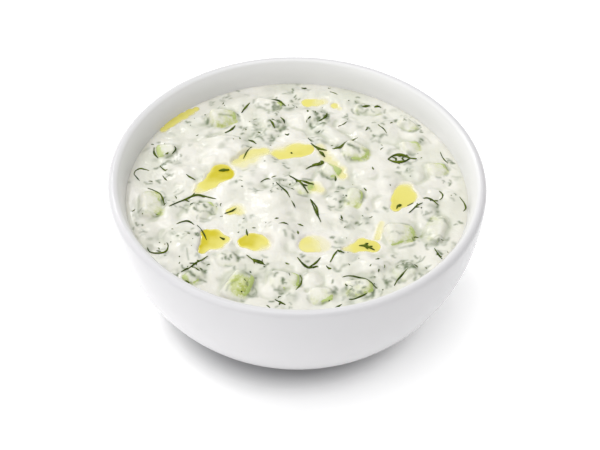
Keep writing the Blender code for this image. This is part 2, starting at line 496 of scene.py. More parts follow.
@dataclass
class Bowl:
    """The glazed bowl, one circle extruded in, down the well, and up again outside."""

    radius: float
    height: float
    belly_depth: float = 67.07 * MM
    belly_power: float = 2.365
    well_radius: float = 64.4 * MM
    well_depth: float = 56.0 * MM
    well_power: float = 2.45
    lip_width: float = 4.0 * MM
    lip_flare: float = 1.6 * MM
    flare_depth: float = 4.0 * MM
    foot_radius: float = 33.0 * MM
    foot_width: float = 3.5 * MM
    foot_height: float = 2.6 * MM
    foot_round: float = 0.5 * MM
    recess: float = 1.9 * MM
    crest: float = 67.5 * MM  # where the inside's painted lighter tone gives way on the lip
    crest_fade: tuple[float, float] = (1.6 * MM, 1.0 * MM)  # inwards and outwards of it
    first_ring: float = 2 * MM
    smooth_below: float = math.radians(50)
    sides: int = 160
    wall_steps: int = 30
    lip_steps: int = 12

    def curve(self, size: Ring, power: float, angle: float) -> Ring:
        """A point of the curve that starts upright at the rim and closes below.

        Args:
            size: Its radius and depth.
            power: How full its belly is.
            angle: From 0 at the rim to a right angle on the axis.

        Returns:
            The radius and the depth there.
        """
        share = 2 / power
        across, down = math.cos(angle), math.sin(angle)
        return Ring(size.radius * max(across, 0.0) ** share, size.height * down**share)

    def well(self, depth: float) -> float:
        """The well's radius at a depth below the rim.

        Args:
            depth: The depth.

        Returns:
            The radius.
        """
        share = min(depth / self.well_depth, 1.0)
        radius = self.well_radius * (1 - share**self.well_power) ** (1 / self.well_power)
        return radius + self.lip_flare * math.exp(-((depth / self.flare_depth) ** 2))

    def well_rings(self) -> list[Ring]:
        """The inside, from near the axis up to the lip.

        Returns:
            Its rings.
        """
        size = Ring(self.well_radius, self.well_depth)
        first = math.asin((self.lip_width / 2 / self.well_depth) ** (self.well_power / 2))
        rings = []
        for step in range(self.wall_steps, -1, -1):
            angle = first + (math.pi / 2 - first) * step / (self.wall_steps + 1)
            ring = self.curve(size, self.well_power, angle)
            rings.append(Ring(self.well(ring.height), self.height - ring.height))
        return rings

    def lip_rings(self) -> list[Ring]:
        """The round lip, from inside to outside.

        Returns:
            Its rings.
        """
        half = self.lip_width / 2
        rings = []
        for step in range(1, self.lip_steps):
            angle = math.pi * (1 - step / self.lip_steps)
            out = self.radius - half + half * math.cos(angle)
            rings.append(Ring(out, self.height - half + half * math.sin(angle)))
        return rings

    def belly_rings(self) -> list[Ring]:
        """The outside, from under the lip down to the foot.

        Returns:
            Its rings.
        """
        size = Ring(self.radius, self.belly_depth)
        half = self.belly_power / 2
        first = math.asin((self.lip_width / 2 / self.belly_depth) ** half)
        last = math.asin(((self.height - self.foot_height) / self.belly_depth) ** half)
        rings = []
        for step in range(self.wall_steps + 1):
            angle = first + (last - first) * step / self.wall_steps
            ring = self.curve(size, self.belly_power, angle)
            rings.append(Ring(ring.radius, self.height - ring.height))
        return rings

    def foot_rings(self) -> list[Ring]:
        """The foot ring and the hollow inside it, ending near the axis.

        Returns:
            Their rings.
        """
        outer, inner, soft = self.foot_radius, self.foot_radius - self.foot_width, self.foot_round
        return [
            Ring(outer + 1.6 * soft, self.foot_height - 0.5 * soft),
            Ring(outer + 0.5 * soft, self.foot_height - 1.5 * soft),
            Ring(outer, soft),
            Ring(outer - 0.3 * soft, 0.3 * soft),
            Ring(outer - soft, 0.0),
            Ring(inner + soft, 0.0),
            Ring(inner + 0.3 * soft, 0.3 * soft),
            Ring(inner, soft),
            Ring(inner - 0.4 * soft, self.recess - 0.3 * soft),
            Ring(inner - 1.4 * soft, self.recess),
            Ring(inner * 0.5, self.recess),
            Ring(self.first_ring, self.recess),
        ]

    def painted_lighter_inside(self, bowl: bpy.types.Object) -> Field:
        """Tell the inside of the wall, painted lighter as painted light, from the outside.

        Args:
            bowl: The bowl.

        Returns:
            For each point 1 inside, 0 outside and a number between them on the lip.
        """
        points = np.array([vertex.co for vertex in bowl.data.vertices])
        away, depth = np.hypot(points[:, 0], points[:, 1]), self.height - points[:, 2]
        wall = np.array([self.well(max(down, 0.0)) for down in depth])
        inwards, outwards = self.crest_fade
        over_lip = 1 - smoothstep(away, self.crest - inwards, self.crest + outwards)
        in_well = (away < wall + 1.0 * MM) & (depth < self.well_depth + 0.1 * MM)
        return np.where(depth < self.lip_width * 0.75, over_lip, in_well)

    def build(self) -> bpy.types.Object:
        """Extrude the bowl and dress it.

        Returns:
            The bowl.
        """
        rings = self.well_rings() + self.lip_rings() + self.belly_rings() + self.foot_rings()
        bowl = turn_rings("bowl_glazed", rings, self.sides)
        bpy.ops.object.shade_smooth_by_angle(angle=self.smooth_below)
        # painted light: marks the inside for its lighter glaze colour
        paint(bowl, "inner", self.painted_lighter_inside(bowl))
        dress(bowl, Glaze().material())
        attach(bowl, BODY)
        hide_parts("bowl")
        return bowl


def extrude_to(before: Ring, after: Ring) -> None:
    """Extrude the selected ring of edges to the next ring.

    Args:
        before: The ring that is selected.
        after: Where the new one goes.
    """
    rise = (0.0, 0.0, after.height - before.height)
    bpy.ops.mesh.extrude_region_move(TRANSFORM_OT_translate={"value": rise})
    grow = after.radius / before.radius
    centre = (0.0, 0.0, after.height)
    bpy.ops.transform.resize(value=(grow, grow, 1.0), center_override=centre)


def turn_rings(name: str, rings: Sequence[Ring], sides: int) -> bpy.types.Object:
    """Extrude one circle through a list of rings, and close both ends on the axis.

    Args:
        name: The new object's name.
        rings: The rings in order.
        sides: How many sides they have.

    Returns:
        The closed piece.
    """
    deselect_all()
    bpy.ops.mesh.primitive_circle_add(vertices=sides, radius=rings[0].radius)
    piece = named(name)
    bpy.ops.object.mode_set(mode="EDIT")
    bpy.ops.mesh.select_all(action="SELECT")
    bpy.ops.transform.translate(value=(0.0, 0.0, rings[0].height))
    for before, after in pairwise(rings):
        extrude_to(before, after)
    bpy.ops.mesh.edge_face_add()
    bpy.ops.mesh.poke()
    bpy.ops.mesh.select_all(action="DESELECT")
    bpy.ops.mesh.select_non_manifold()
    bpy.ops.mesh.edge_face_add()
    bpy.ops.mesh.poke()
    bpy.ops.mesh.select_all(action="SELECT")
    bpy.ops.mesh.normals_make_consistent(inside=False)
    bpy.ops.object.mode_set(mode="OBJECT")
    return piece


# ------------------------------------------------------------------ the cucumber
class Bite(NamedTuple):
    """How one piece of cucumber shows: film in millimetres, sides in degrees."""

    film: float  # yoghurt over its middle; below 0 it is bare
    slant: float  # how much thinner the film gets from the far to the bare side
    bare: float  # the way the bare side faces
    green: float  # how green it looks, 0 to 1


SHOWING = {
    1: Bite(0.30, 0.55, -30, 0.95),
    2: Bite(0.45, 0.40, 10, 0.35),
    3: Bite(0.40, 0.40, -60, 0.40),
    4: Bite(0.45, 0.35, -30, 0.15),
    5: Bite(0.35, 0.45, -90, 0.40),
    6: Bite(0.35, 0.35, -60, 0.55),
    7: Bite(0.25, 0.60, 200, 0.80),
    8: Bite(0.25, 0.40, -20, 0.75),
    9: Bite(0.30, 0.50, -60, 0.70),
    10: Bite(0.30, 0.60, -50, 0.75),
    11: Bite(0.30, 0.45, 20, 0.65),
    12: Bite(0.28, 0.45, 45, 0.75),
    13: Bite(0.25, 0.50, -40, 0.85),
    14: Bite(0.28, 0.50, 10, 0.65),
    15: Bite(0.35, 0.45, 20, 0.45),
    16: Bite(0.30, 0.60, -30, 0.75),
    17: Bite(0.35, 0.40, 150, 0.50),
    18: Bite(0.25, 0.50, -110, 0.75),
    19: Bite(0.45, 0.30, -60, 0.30),
    20: Bite(0.22, 0.70, -25, 1.00),
    21: Bite(0.38, 0.45, -20, 0.50),
    22: Bite(0.30, 0.50, -70, 0.70),
    23: Bite(0.30, 0.45, -60, 0.70),
    24: Bite(0.40, 0.35, -140, 0.40),
}


FLECKED = {2: 9, 3: 16, 4: 20, 5: 9, 10: 7, 15: 18, 18: 8, 19: 9, 21: 5, 23: 8, 24: 14}
CUT_OPEN = (20,)  # its bare cut face shows in the middle


@dataclass
class CucumberPieces:
    """The diced cucumber: each piece is its solid, softened, with an uneven cut face."""

    rounding: int = 2
    wear: int = 12
    unevenness: float = 0.22 * MM
    grain: float = 3.2 * MM
    pieces: dict[int, bpy.types.Object] = field(default_factory=dict)

    def soften(self, number: int, node: bpy.types.Object) -> bpy.types.Object:
        """Copy a solid, merge its corners and round it off.

        Args:
            number: The piece's number.
            node: Its solid.

        Returns:
            The softened piece.
        """
        deselect_all()
        piece = node.copy()
        piece.data = node.data.copy()
        for key in list(piece.keys()):
            del piece[key]
        bpy.context.scene.collection.objects.link(piece)
        piece.parent = None
        piece.matrix_world = Matrix.Identity(4)
        piece.name = f"cucumber_dice_{number:02d}"
        select_only(piece)
        bpy.ops.object.mode_set(mode="EDIT")
        bpy.ops.mesh.select_all(action="SELECT")
        bpy.ops.mesh.remove_doubles(threshold=0.01 * MM)
        bpy.ops.mesh.tris_convert_to_quads()
        bpy.ops.object.mode_set(mode="OBJECT")
        soft = piece.modifiers.new("Soft", "SUBSURF")
        soft.levels = soft.render_levels = self.rounding
        bpy.ops.object.modifier_apply(modifier=soft.name)
        bpy.ops.object.mode_set(mode="EDIT")
        bpy.ops.mesh.select_all(action="SELECT")
        bpy.ops.mesh.vertices_smooth(factor=0.5, repeat=self.wear)
        bpy.ops.object.mode_set(mode="OBJECT")
        bpy.ops.object.shade_smooth()
        return piece

    def roughen(self, piece: bpy.types.Object) -> None:
        """Make a piece's faces slightly uneven and paint shade: points facing right, front and down,
        away from the light, get greener.

        Args:
            piece: The softened piece.
        """
        centre = sum((v.co for v in piece.data.vertices), Vector()) / len(piece.data.vertices)
        painted_shade_greenness = []
        for vertex in piece.data.vertices:
            out = (vertex.co - centre).normalized()
            wave = noise.noise(vertex.co / self.grain)
            vertex.co += out * self.unevenness * wave
            # painted shade: the same right, front and under sides turn greener on every piece
            painted_shade_greenness.append(0.5 + 0.5 * (0.6 * out.x - 0.5 * out.y - 0.4 * out.z))
        paint(piece, "painted_shade_greenness", np.array(painted_shade_greenness))

    def build(self, nodes: dict[str, bpy.types.Object]) -> None:
        """Make every piece and dress it.

        Args:
            nodes: The frame's solids by name.
        """
        flesh = Cucumber().material()
        for number in SHOWING:
            node = nodes[f"cucumber_{number:02d}"]
            piece = self.soften(number, node)
            self.roughen(piece)
            dress(piece, flesh)
            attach(piece, BODY)
            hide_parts(node.name)
            self.pieces[number] = piece


# ------------------------------------------------------------------ the dip's skin
class Lump(NamedTuple):
    """A piece that is quite sunk and lifts the skin, in millimetres and degrees."""

    x: float
    y: float
    length: float
    width: float
    turn: float
    height: float


class Pool(NamedTuple):
    """A hollow with oil in it, made of discs (x, y, radius) in millimetres."""

    depth: float  # its greatest depth, in millimetres
    side: float  # which way it gets deeper, in degrees
    halo: float  # how far the oil stains the yoghurt round it, 0 to 1
    discs: tuple[tuple[float, float, float], ...]


class Fold(NamedTuple):
    """A long soft ridge or groove left by stirring, along points in millimetres."""

    height: float
    width: float
    points: tuple[Spot, ...]


LUMPS = (
    Lump(-27.5, 20.5, 17, 14, 10, 2.0),
    Lump(-39.5, -29.0, 14, 18, 10, 2.1),
    Lump(-7.0, -7.0, 16, 15, 30, 2.0),
    Lump(-5.0, -23.0, 12, 11, 0, 1.9),
    Lump(47.0, -7.5, 8, 9, 0, 1.3),
    Lump(16.0, -36.5, 11, 9, 0, 1.1),
    Lump(31.0, 35.0, 15, 11, 20, 0.9),
    Lump(-47.0, 33.0, 12, 12, 0, 0.8),
    Lump(-43.0, 7.0, 11, 9, 20, 0.9),
    Lump(-20.0, 5.0, 10, 8, 0, 0.8),
    Lump(47.0, 33.0, 8, 8, 0, 0.9),
    Lump(-22.0, 51.0, 9, 7, 20, 0.7),
    Lump(-55.0, -26.0, 9, 11, 0, 0.8),
    Lump(-48.0, -39.0, 9, 8, 40, 0.8),
    Lump(50.0, -34.0, 8, 9, 40, 0.8),
    Lump(29.0, -38.0, 9, 7, 0, 0.8),
    Lump(34.0, 4.0, 7, 8, 0, 0.7),
    Lump(26.5, 10.0, 5, 4.5, 0, 0.8),
    Lump(14.0, -13.0, 9, 8, 0, 0.6),
    Lump(58.0, -3.0, 7, 9, 0, 0.8),
    Lump(17.0, 54.0, 10, 6, 0, 0.6),
    Lump(-9.0, 10.0, 9, 7, 0, 0.6),
    Lump(-35.0, 28.0, 9, 7, 30, 0.6),
)

POOLS = {
    "wall": Pool(0.9, 135, 0.2, ((-52.8, 32.8, 2.0), (-50.8, 35.8, 2.3), (-48.6, 38.6, 2.4),
                                 (-46.0, 41.4, 2.4), (-43.4, 44.0, 2.1), (-41.2, 46.0, 1.4))),
    "left": Pool(1.5, 75, 0.5, ((-29.0, 8.6, 4.0), (-31.0, 5.2, 3.6), (-26.6, 7.2, 3.0),
                                (-32.5, 1.8, 3.0), (-35.4, 0.2, 3.0), (-37.0, -2.2, 1.8))),
    "band": Pool(0.36, 120, 0.7, ((-23.4, 13.2, 2.2), (-20.4, 16.0, 2.7), (-16.8, 18.4, 3.3),
                                  (-13.0, 19.8, 2.6), (-21.0, 12.6, 2.2), (-17.6, 14.8, 2.0))),
    "top": Pool(0.75, -60, 0.25, ((-6.0, 20.4, 4.2), (-1.0, 22.4, 4.8), (3.0, 22.6, 3.4),
                                  (-8.8, 20.0, 2.4))),
    "stream": Pool(0.26, 250, 0.8, ((8.2, 23.8, 1.9), (9.8, 20.6, 2.0), (11.4, 17.4, 2.1),
                                    (13.6, 14.4, 2.1), (16.0, 11.4, 2.2), (17.0, 8.0, 1.9))),
    "thread": Pool(0.28, 200, 0.8, ((6.6, 0.8, 2.4), (8.8, -0.4, 1.6))),
    "back": Pool(0.5, 180, 0.3, ((3.0, 51.0, 2.6), (6.5, 51.6, 2.8), (9.5, 52.0, 2.1))),
    "back_small": Pool(0.4, 180, 0.4, ((14.0, 49.3, 1.9), (16.0, 47.6, 1.2))),
    "right": Pool(0.85, 230, 0.2, ((40.2, 0.2, 4.4), (41.2, 3.2, 2.8), (38.6, -4.4, 3.8),
                                    (36.6, -8.2, 2.0), (42.4, -2.0, 3.0))),
    "small": Pool(0.5, 190, 0.6, ((-22.0, -11.6, 2.5), (-24.5, -13.0, 1.7), (-20.6, -13.2, 1.8))),
    "front_left": Pool(1.7, 150, 0.1, ((-29.4, -26.0, 3.8), (-31.0, -29.6, 2.8),
                                        (-28.0, -29.6, 3.2), (-25.2, -27.4, 1.9),
                                        (-31.6, -27.4, 2.6), (-32.6, -31.8, 2.0),
                                        (-33.4, -33.4, 1.4), (-32.8, -24.4, 1.7))),
    "front_middle": Pool(1.5, 150, 0.1, ((-15.4, -28.0, 4.3), (-18.4, -28.6, 2.4),
                                         (-12.0, -29.2, 3.9))),
    "front_pale": Pool(0.40, 200, 0.0, ((6.4, -27.2, 4.7), (4.4, -29.0, 3.4), (9.6, -28.2, 3.7))),
    "trickle": Pool(0.26, 200, 0.7, ((29.4, -24.2, 1.3), (29.8, -22.6, 1.2), (30.2, -21.0, 1.2),
                                     (30.5, -19.4, 1.15), (30.9, -17.8, 1.1), (31.3, -16.4, 1.0))),
    "front_right": Pool(0.85, -15, 0.15, ((24.0, -27.6, 3.7), (20.4, -29.4, 2.7),
                                        (27.6, -28.4, 2.9), (18.0, -30.2, 1.7))),
}

FOLDS = (
    Fold(0.55, 1.3, ((13, 34), (20, 39), (26, 40.5), (31, 39), (36, 36))),
    Fold(-0.45, 1.5, ((-43, 24), (-38, 29), (-30, 30), (-21, 27), (-15, 29), (-6, 31))),
    Fold(-0.45, 1.4, ((-60, 4), (-52, 1), (-46, 2), (-38, -1))),
    Fold(-0.4, 1.6, ((26, -12), (30, -6), (31, 4), (29, 12), (33, 18))),
    Fold(0.45, 1.4, ((-13, -15), (-3, -16), (8, -12), (15, -4))),
    Fold(-0.5, 1.4, ((-50, -20), (-47, -30), (-44, -38), (-32, -41))),
    Fold(0.4, 1.3, ((12, 58), (24, 55), (36, 49), (46, 42))),
    Fold(-0.4, 1.3, ((-14, -38), (-4, -37), (6, -42), (16, -43), (28, -42))),
    Fold(0.4, 1.5, ((44, -31), (50, -34), (57, -24), (61, -12))),
    Fold(-0.35, 1.4, ((-4, 33), (8, 31), (14, 28), (16, 30))),
    Fold(0.35, 1.6, ((50, 2), (56, -3), (60, -8))),
    Fold(-0.4, 1.4, ((-20, 43), (-16, 42), (0, 44), (1, 50))),
)


def soft_noise(x: Field, y: Field, size: float, shift: float) -> Field:
    """Smooth noise over the skin.

    Args:
        x: Places across, in metres.
        y: Places along, in metres.
        size: The size of its waves in metres.
        shift: Where in the noise to look.

    Returns:
        Numbers from about -1 to 1.
    """
    pairs = zip((x / size).ravel(), (y / size).ravel())
    found = [noise.noise(Vector((across, along, shift))) for across, along in pairs]
    return np.array(found).reshape(x.shape)


def blurred(values: Field, reach: float) -> Field:
    """Blur a grid of numbers.

    Args:
        values: The grid.
        reach: The blur's spread, in cells.

    Returns:
        The blurred grid.
    """
    half = max(int(3 * reach), 1)
    weights = np.exp(-0.5 * (np.arange(-half, half + 1) / reach) ** 2)
    weights /= weights.sum()
    padded = np.pad(values, half, mode="edge")
    rows = sum(w * padded[i : i + values.shape[0], :] for i, w in enumerate(weights))
    return sum(w * rows[:, i : i + values.shape[1]] for i, w in enumerate(weights))


def away_from_path(x: Field, y: Field, points: Iterable[Spot]) -> Field:
    """The distance to a path.

    Args:
        x: Places across.
        y: Places along.
        points: The path's points, in the same unit.

    Returns:
        The shortest distance from each place to the path.
    """
    nearest = np.full(x.shape, np.inf)
    for (x0, y0), (x1, y1) in pairwise(points):
        run = np.array((x1 - x0, y1 - y0), float)
        share = ((x - x0) * run[0] + (y - y0) * run[1]) / (run @ run)
        share = np.clip(share, 0.0, 1.0)
        away = np.hypot(x - x0 - share * run[0], y - y0 - share * run[1])
        nearest = np.minimum(nearest, away)
    return nearest


class Sunk(NamedTuple):
    """A kind of sunk fleck: the ranges of its sizes in millimetres, and of its strength."""

    length: tuple[float, float]
    width: tuple[float, float]
    strength: tuple[float, float]


SPECK = Sunk((0.4, 1.5), (0.28, 0.50), (0.30, 0.95))
SMUDGE = Sunk((0.6, 1.8), (0.6, 1.15), (0.08, 0.30))
STREAK = Sunk((1.6, 4.6), (0.30, 0.55), (0.15, 0.65))
SUNK_KINDS = (SPECK, SPECK, SMUDGE, SMUDGE, STREAK)  # each is as likely as the next


def middle_and_half(piece: bpy.types.Object) -> tuple[Field, Field]:
    """The middle of a piece's box and half its size.

    Args:
        piece: The piece.

    Returns:
        Both along x, y and z, in millimetres.
    """
    points = np.array([v.co for v in piece.data.vertices]) / MM
    low, high = points.min(axis=0), points.max(axis=0)
    return (high + low) / 2, (high - low) / 2


@dataclass
class Dip:
    """The yoghurt: a fine sheet over everything sunk in it, closed down into the bowl."""

    bowl: Bowl
    radius: float
    level: float = 52.4 * MM
    dome: float = 1.1 * MM
    cells: int = 284
    wave: float = 0.60 * MM
    wave_size: float = 15 * MM
    clot: float = 2.9 * MM
    clot_size: float = 8.0 * MM
    ripple: float = 0.95 * MM
    ripple_size: float = 3.4 * MM
    calm_size: float = 17 * MM
    film_patch: float = 0.42  # how uneven the yoghurt over a piece is, in millimetres
    film_patch_size: float = 2.6 * MM
    thinnest_film: float = 0.05  # in millimetres
    clear_film: float = 0.50 * MM  # the film that lets a third of the green through
    drape_blur: float = 0.5 * MM
    tint_blur: float = 0.34 * MM
    bank_blur: float = 1.6 * MM
    bank_rise: float = 0.12 * MM
    below_bank: float = 0.10 * MM
    pool_blur: float = 0.28 * MM
    into_wall: float = 0.35 * MM
    edge_drop: float = 0.5 * MM
    down_the_well: tuple[float, ...] = (0.022, 0.032, 0.041, 0.048, 0.053, 0.0555)
    speck_reach: float = 63.5  # in millimetres from the axis
    specks: int = 470
    seed: int = 11
    marks: dict[str, Field] = field(default_factory=dict)
    pool_levels: dict[str, float] = field(default_factory=dict)
    x: Field = field(init=False, repr=False)
    y: Field = field(init=False, repr=False)
    out: Field = field(init=False, repr=False)
    cell: float = field(init=False, repr=False)
    height: Field = field(init=False, repr=False)
    fleck: Field = field(init=False, repr=False)
    tree: BVHTree = field(init=False, repr=False)

    def spread(self) -> bpy.types.Object:
        """Add the sheet and spread its square grid over the round well.

        Returns:
            The flat sheet.
        """
        deselect_all()
        bpy.ops.mesh.primitive_grid_add(
            x_subdivisions=self.cells, y_subdivisions=self.cells, size=2.0
        )
        sheet = named("tzatziki_skin")
        points = np.empty(len(sheet.data.vertices) * 3)
        sheet.data.vertices.foreach_get("co", points)
        side = self.cells + 1
        grid = points.reshape(side, side, 3)
        across, along = grid[..., 0], grid[..., 1]
        self.x = self.radius * across * np.sqrt(1 - along**2 / 2)
        self.y = self.radius * along * np.sqrt(1 - across**2 / 2)
        self.out = np.hypot(self.x, self.y) / self.radius
        self.cell = 2 * self.radius / self.cells
        return sheet

    def heap(self) -> None:
        """Shape the dip without the cucumber that shows: dome, waves, lumps and folds."""
        inner = 1 - self.out**6
        height = self.level + self.dome * (1 - self.out**2)
        height = height + self.wave * inner * soft_noise(self.x, self.y, self.wave_size, 0.3)
        calm = 0.65 + 0.7 * soft_noise(self.x, self.y, self.calm_size, 4.4)
        inner = inner * np.clip(calm, 0.25, 1.0)
        clots = np.abs(soft_noise(self.x, self.y, self.clot_size, 1.6)) - 0.2
        grains = np.abs(soft_noise(self.x, self.y, self.ripple_size, 2.9)) - 0.2
        height = height + inner * (self.clot * clots + self.ripple * grains)
        for lump in LUMPS:
            height = height + self.lump_height(lump)
        for fold in FOLDS:
            away = away_from_path(self.x / MM, self.y / MM, fold.points)
            height = height + fold.height * MM * np.exp(-((away / fold.width) ** 2)) * inner
        self.height = height - self.edge_drop * smoothstep(self.out, 0.968, 1.0)

    def lump_height(self, lump: Lump) -> Field:
        """How much a sunk piece lifts the skin.

        Args:
            lump: The piece.

        Returns:
            The lift over the grid, in metres.
        """
        turn = math.radians(lump.turn)
        x, y = self.x / MM - lump.x, self.y / MM - lump.y
        across = (x * math.cos(turn) + y * math.sin(turn)) / (lump.length / 2)
        along = (y * math.cos(turn) - x * math.sin(turn)) / (lump.width / 2)
        away = (np.abs(across) ** 3 + np.abs(along) ** 3) ** (1 / 3)
        return 1.25 * lump.height * MM * np.exp(-(away**3.2)) * (1 - self.out**12)

    def drape(self, cucumber: CucumberPieces) -> None:
        """Lay the skin over the pieces of cucumber, thin on their bare sides.

        Args:
            cucumber: The pieces.
        """
        tint = np.zeros_like(self.x)
        cover = self.height.copy()
        for number, piece in cucumber.pieces.items():
            bite = SHOWING[number]
            top, inside = self.top_of(piece)
            facing = math.radians(bite.bare)
            if not inside.any():
                continue
            x, y = self.x[inside], self.y[inside]
            side = (x - x.mean()) * math.cos(facing) + (y - y.mean()) * math.sin(facing)
            side = side / np.abs(side).max()
            off_middle = np.hypot(x - x.mean(), y - y.mean())
            off_middle = off_middle / off_middle.max()
            patchy = soft_noise(x, y, self.film_patch_size, number * 1.7)
            film = bite.film - 1.25 * bite.slant * (side - 0.05) + self.film_patch * patchy
            if number in CUT_OPEN:
                film = film + 0.8 * (off_middle**2 - 0.35)
            film = np.maximum(film, self.thinnest_film) * MM
            cover[inside] = np.maximum(self.height[inside] - 0.4 * MM, top[inside] + film)
            shown = bite.green * np.exp(-film / self.clear_film)
            edge = smoothstep(off_middle, 0.35, 0.9)
            shown = shown * (1.15 - 1.1 * edge if number in CUT_OPEN else 0.38 + 0.62 * edge)
            tint[inside] = np.maximum(tint[inside], 0.10 * bite.green + 0.95 * shown)
        self.height = blurred(cover, self.drape_blur / self.cell)
        self.marks["tint"] = np.clip(blurred(tint, self.tint_blur / self.cell), 0.0, 1.0)

    def top_of(self, piece: bpy.types.Object) -> tuple[Field, Field]:
        """Look down on a piece from above.

        Args:
            piece: The piece.

        Returns:
            The height of its top over the grid, and where it is under the grid.
        """
        graph = bpy.context.evaluated_depsgraph_get()
        tree = BVHTree.FromObject(piece, graph)
        points = np.array([v.co for v in piece.data.vertices])
        low, high = points.min(axis=0), points.max(axis=0)
        near = (self.x > low[0]) & (self.x < high[0]) & (self.y > low[1]) & (self.y < high[1])
        top = np.zeros_like(self.x)
        inside = np.zeros(self.x.shape, bool)
        for row, column in zip(*np.nonzero(near)):
            above = Vector((self.x[row, column], self.y[row, column], HIGH_ABOVE))
            found = tree.ray_cast(above, DOWN)[0]
            if found is not None:
                top[row, column] = found.z
                inside[row, column] = True
        return top, inside

    def press_pools(self) -> None:
        """Press a hollow for each pool of oil, with its bank level all round."""
        stain = np.zeros_like(self.x)
        warmth = np.zeros_like(self.x)
        smooth = blurred(self.height, self.bank_blur / self.cell)
        for name, pool in POOLS.items():
            filled = self.fill_of(pool, self.x, self.y)
            bank = (filled > 0.7) & (filled < 1.3)
            level = float(smooth[bank].mean()) - self.below_bank
            inside = np.clip(filled - 1.0, 0.0, None)
            lean = self.lean_of(pool, self.x, self.y)
            deepest = pool.depth * MM * (0.35 + 0.65 * lean)
            floor = level - deepest * (1 - np.exp(-0.85 * inside))
            near = smoothstep(filled, 0.12, 0.85)
            bank_height = np.maximum(smooth, level + self.bank_rise)
            shaped = self.height * (1 - near) + bank_height * near
            share = smoothstep(filled, 0.85, 1.12)
            self.height = shaped * (1 - share) + floor * share
            reach = np.log(filled + 1e-9)
            halo = smoothstep(reach, -0.4 - 4.2 * pool.halo, 0.1) * 0.42 * pool.halo
            halo = halo + 0.30 * smoothstep(reach, 0.0, 1.4)
            stain = np.maximum(stain, halo)
            warmth = np.maximum(warmth, smoothstep(filled, 0.10, 0.9))
            self.pool_levels[name] = level
        self.height = blurred(self.height, self.pool_blur / self.cell)
        self.marks["oil_stain"] = stain
        self.marks["warmth"] = warmth * 0.7

    def lean_of(self, pool: Pool, x: Field, y: Field) -> Field:
        """How deep a pool lies at places, as a share: 1 on its deep side, 0 on the other.

        Args:
            pool: The pool.
            x: Places across, in metres.
            y: Places along, in metres.

        Returns:
            The share at each place.
        """
        spots = np.array(pool.discs)
        middle = spots[:, :2].mean(axis=0)
        aim = math.radians(pool.side)
        way = np.array((math.cos(aim), math.sin(aim)))
        reach = np.abs((spots[:, :2] - middle) @ way).max() + spots[:, 2].mean()
        side = ((x / MM - middle[0]) * way[0] + (y / MM - middle[1]) * way[1]) / reach
        side = side + 0.35 * soft_noise(x, y, 4.0 * MM, 6.3)
        return smoothstep(side, -0.95, 0.75)

    def richness_of(self, pool: Pool, x: Field, y: Field) -> Field:
        """How rich a pool's oil looks at places: it fades on its shallow side.

        Args:
            pool: The pool.
            x: Places across, in metres.
            y: Places along, in metres.

        Returns:
            The depth that shows there, in millimetres.
        """
        lean = self.lean_of(pool, x, y)
        inside = np.clip(self.fill_of(pool, x, y) - 1.0, 0.0, None)
        return pool.depth * (0.22 + 0.78 * lean) * (1 - np.exp(-(0.2 + 1.3 * lean) * inside))

    def fill_of(self, pool: Pool, x: Field, y: Field) -> Field:
        """How far inside a pool places lie: 1 on its edge, more inside, less outside.

        Args:
            pool: The pool.
            x: Places across, in metres.
            y: Places along, in metres.

        Returns:
            The fill at each place.
        """
        wobble = 0.13 * soft_noise(x, y, 3.2 * MM, 7.7) + 0.05 * soft_noise(x, y, 1.3 * MM, 4.2)
        filled = np.zeros_like(x)
        for disc_x, disc_y, radius in pool.discs:
            away = np.hypot(x / MM - disc_x, y / MM - disc_y) / radius + wobble
            filled = filled + np.exp(-2.4 * (np.maximum(away, 0.0) ** 2 - 1))
        return filled

    def paint_hollow_shade_and_ridge_light(self) -> None:
        """Paint shade into the skin's hollows and light onto its ridges: painted shade and painted
        highlight.
        """
        calm = 1 - np.clip(self.marks["warmth"], 0, 1)
        fine = (self.height - blurred(self.height, 1.3 * MM / self.cell)) / (0.30 * MM)
        broad = (self.height - blurred(self.height, 3.4 * MM / self.cell)) / (0.95 * MM)
        # painted light: this ridge mark darkens hollows and whitens ridges in the yoghurt's colour
        ridge = np.clip(0.6 * fine + 0.6 * broad, -1.0, 1.0)
        self.marks["ridge"] = ridge * calm

    def sink_flecks(self, cucumber: CucumberPieces) -> None:
        """Paint the dill that lies just under the skin: soft greyish specks and streaks.

        Args:
            cucumber: The pieces, which it gathers round.
        """
        rng = random.Random(self.seed)
        self.fleck = np.zeros_like(self.x)
        placed = 0
        while placed < self.specks:
            turn = rng.uniform(0, 2 * math.pi)
            out = self.speck_reach * math.sqrt(rng.random())
            spot = (out * math.cos(turn), out * math.sin(turn))
            kind = rng.choice(SUNK_KINDS)
            length, width = rng.uniform(*kind.length), rng.uniform(*kind.width)
            strength, aim = rng.uniform(*kind.strength), rng.uniform(0, math.pi)
            bend = rng.uniform(-0.3, 0.3)
            if rng.random() < self.crowding(*spot):
                self.sink_streak(spot, length, width, strength, aim, bend)
                placed += 1
                for _ in range(rng.choice((0, 0, 1, 2))):
                    beside = (spot[0] + rng.gauss(0, 0.9), spot[1] + rng.gauss(0, 0.9))
                    turned = aim + rng.uniform(-1.0, 1.0)
                    self.sink_streak(beside, 0.6 * length, width, 0.8 * strength, turned, bend)
        self.ring_pieces(rng, cucumber)
        self.fleck_pieces(rng, cucumber)
        self.marks["fleck"] = self.fleck
        haze = np.clip(0.45 * soft_noise(self.x, self.y, 12 * MM, 9.1) + 0.10 * self.out, 0, 1)
        self.marks["haze"] = haze * (1 - np.clip(self.marks["warmth"], 0, 1))

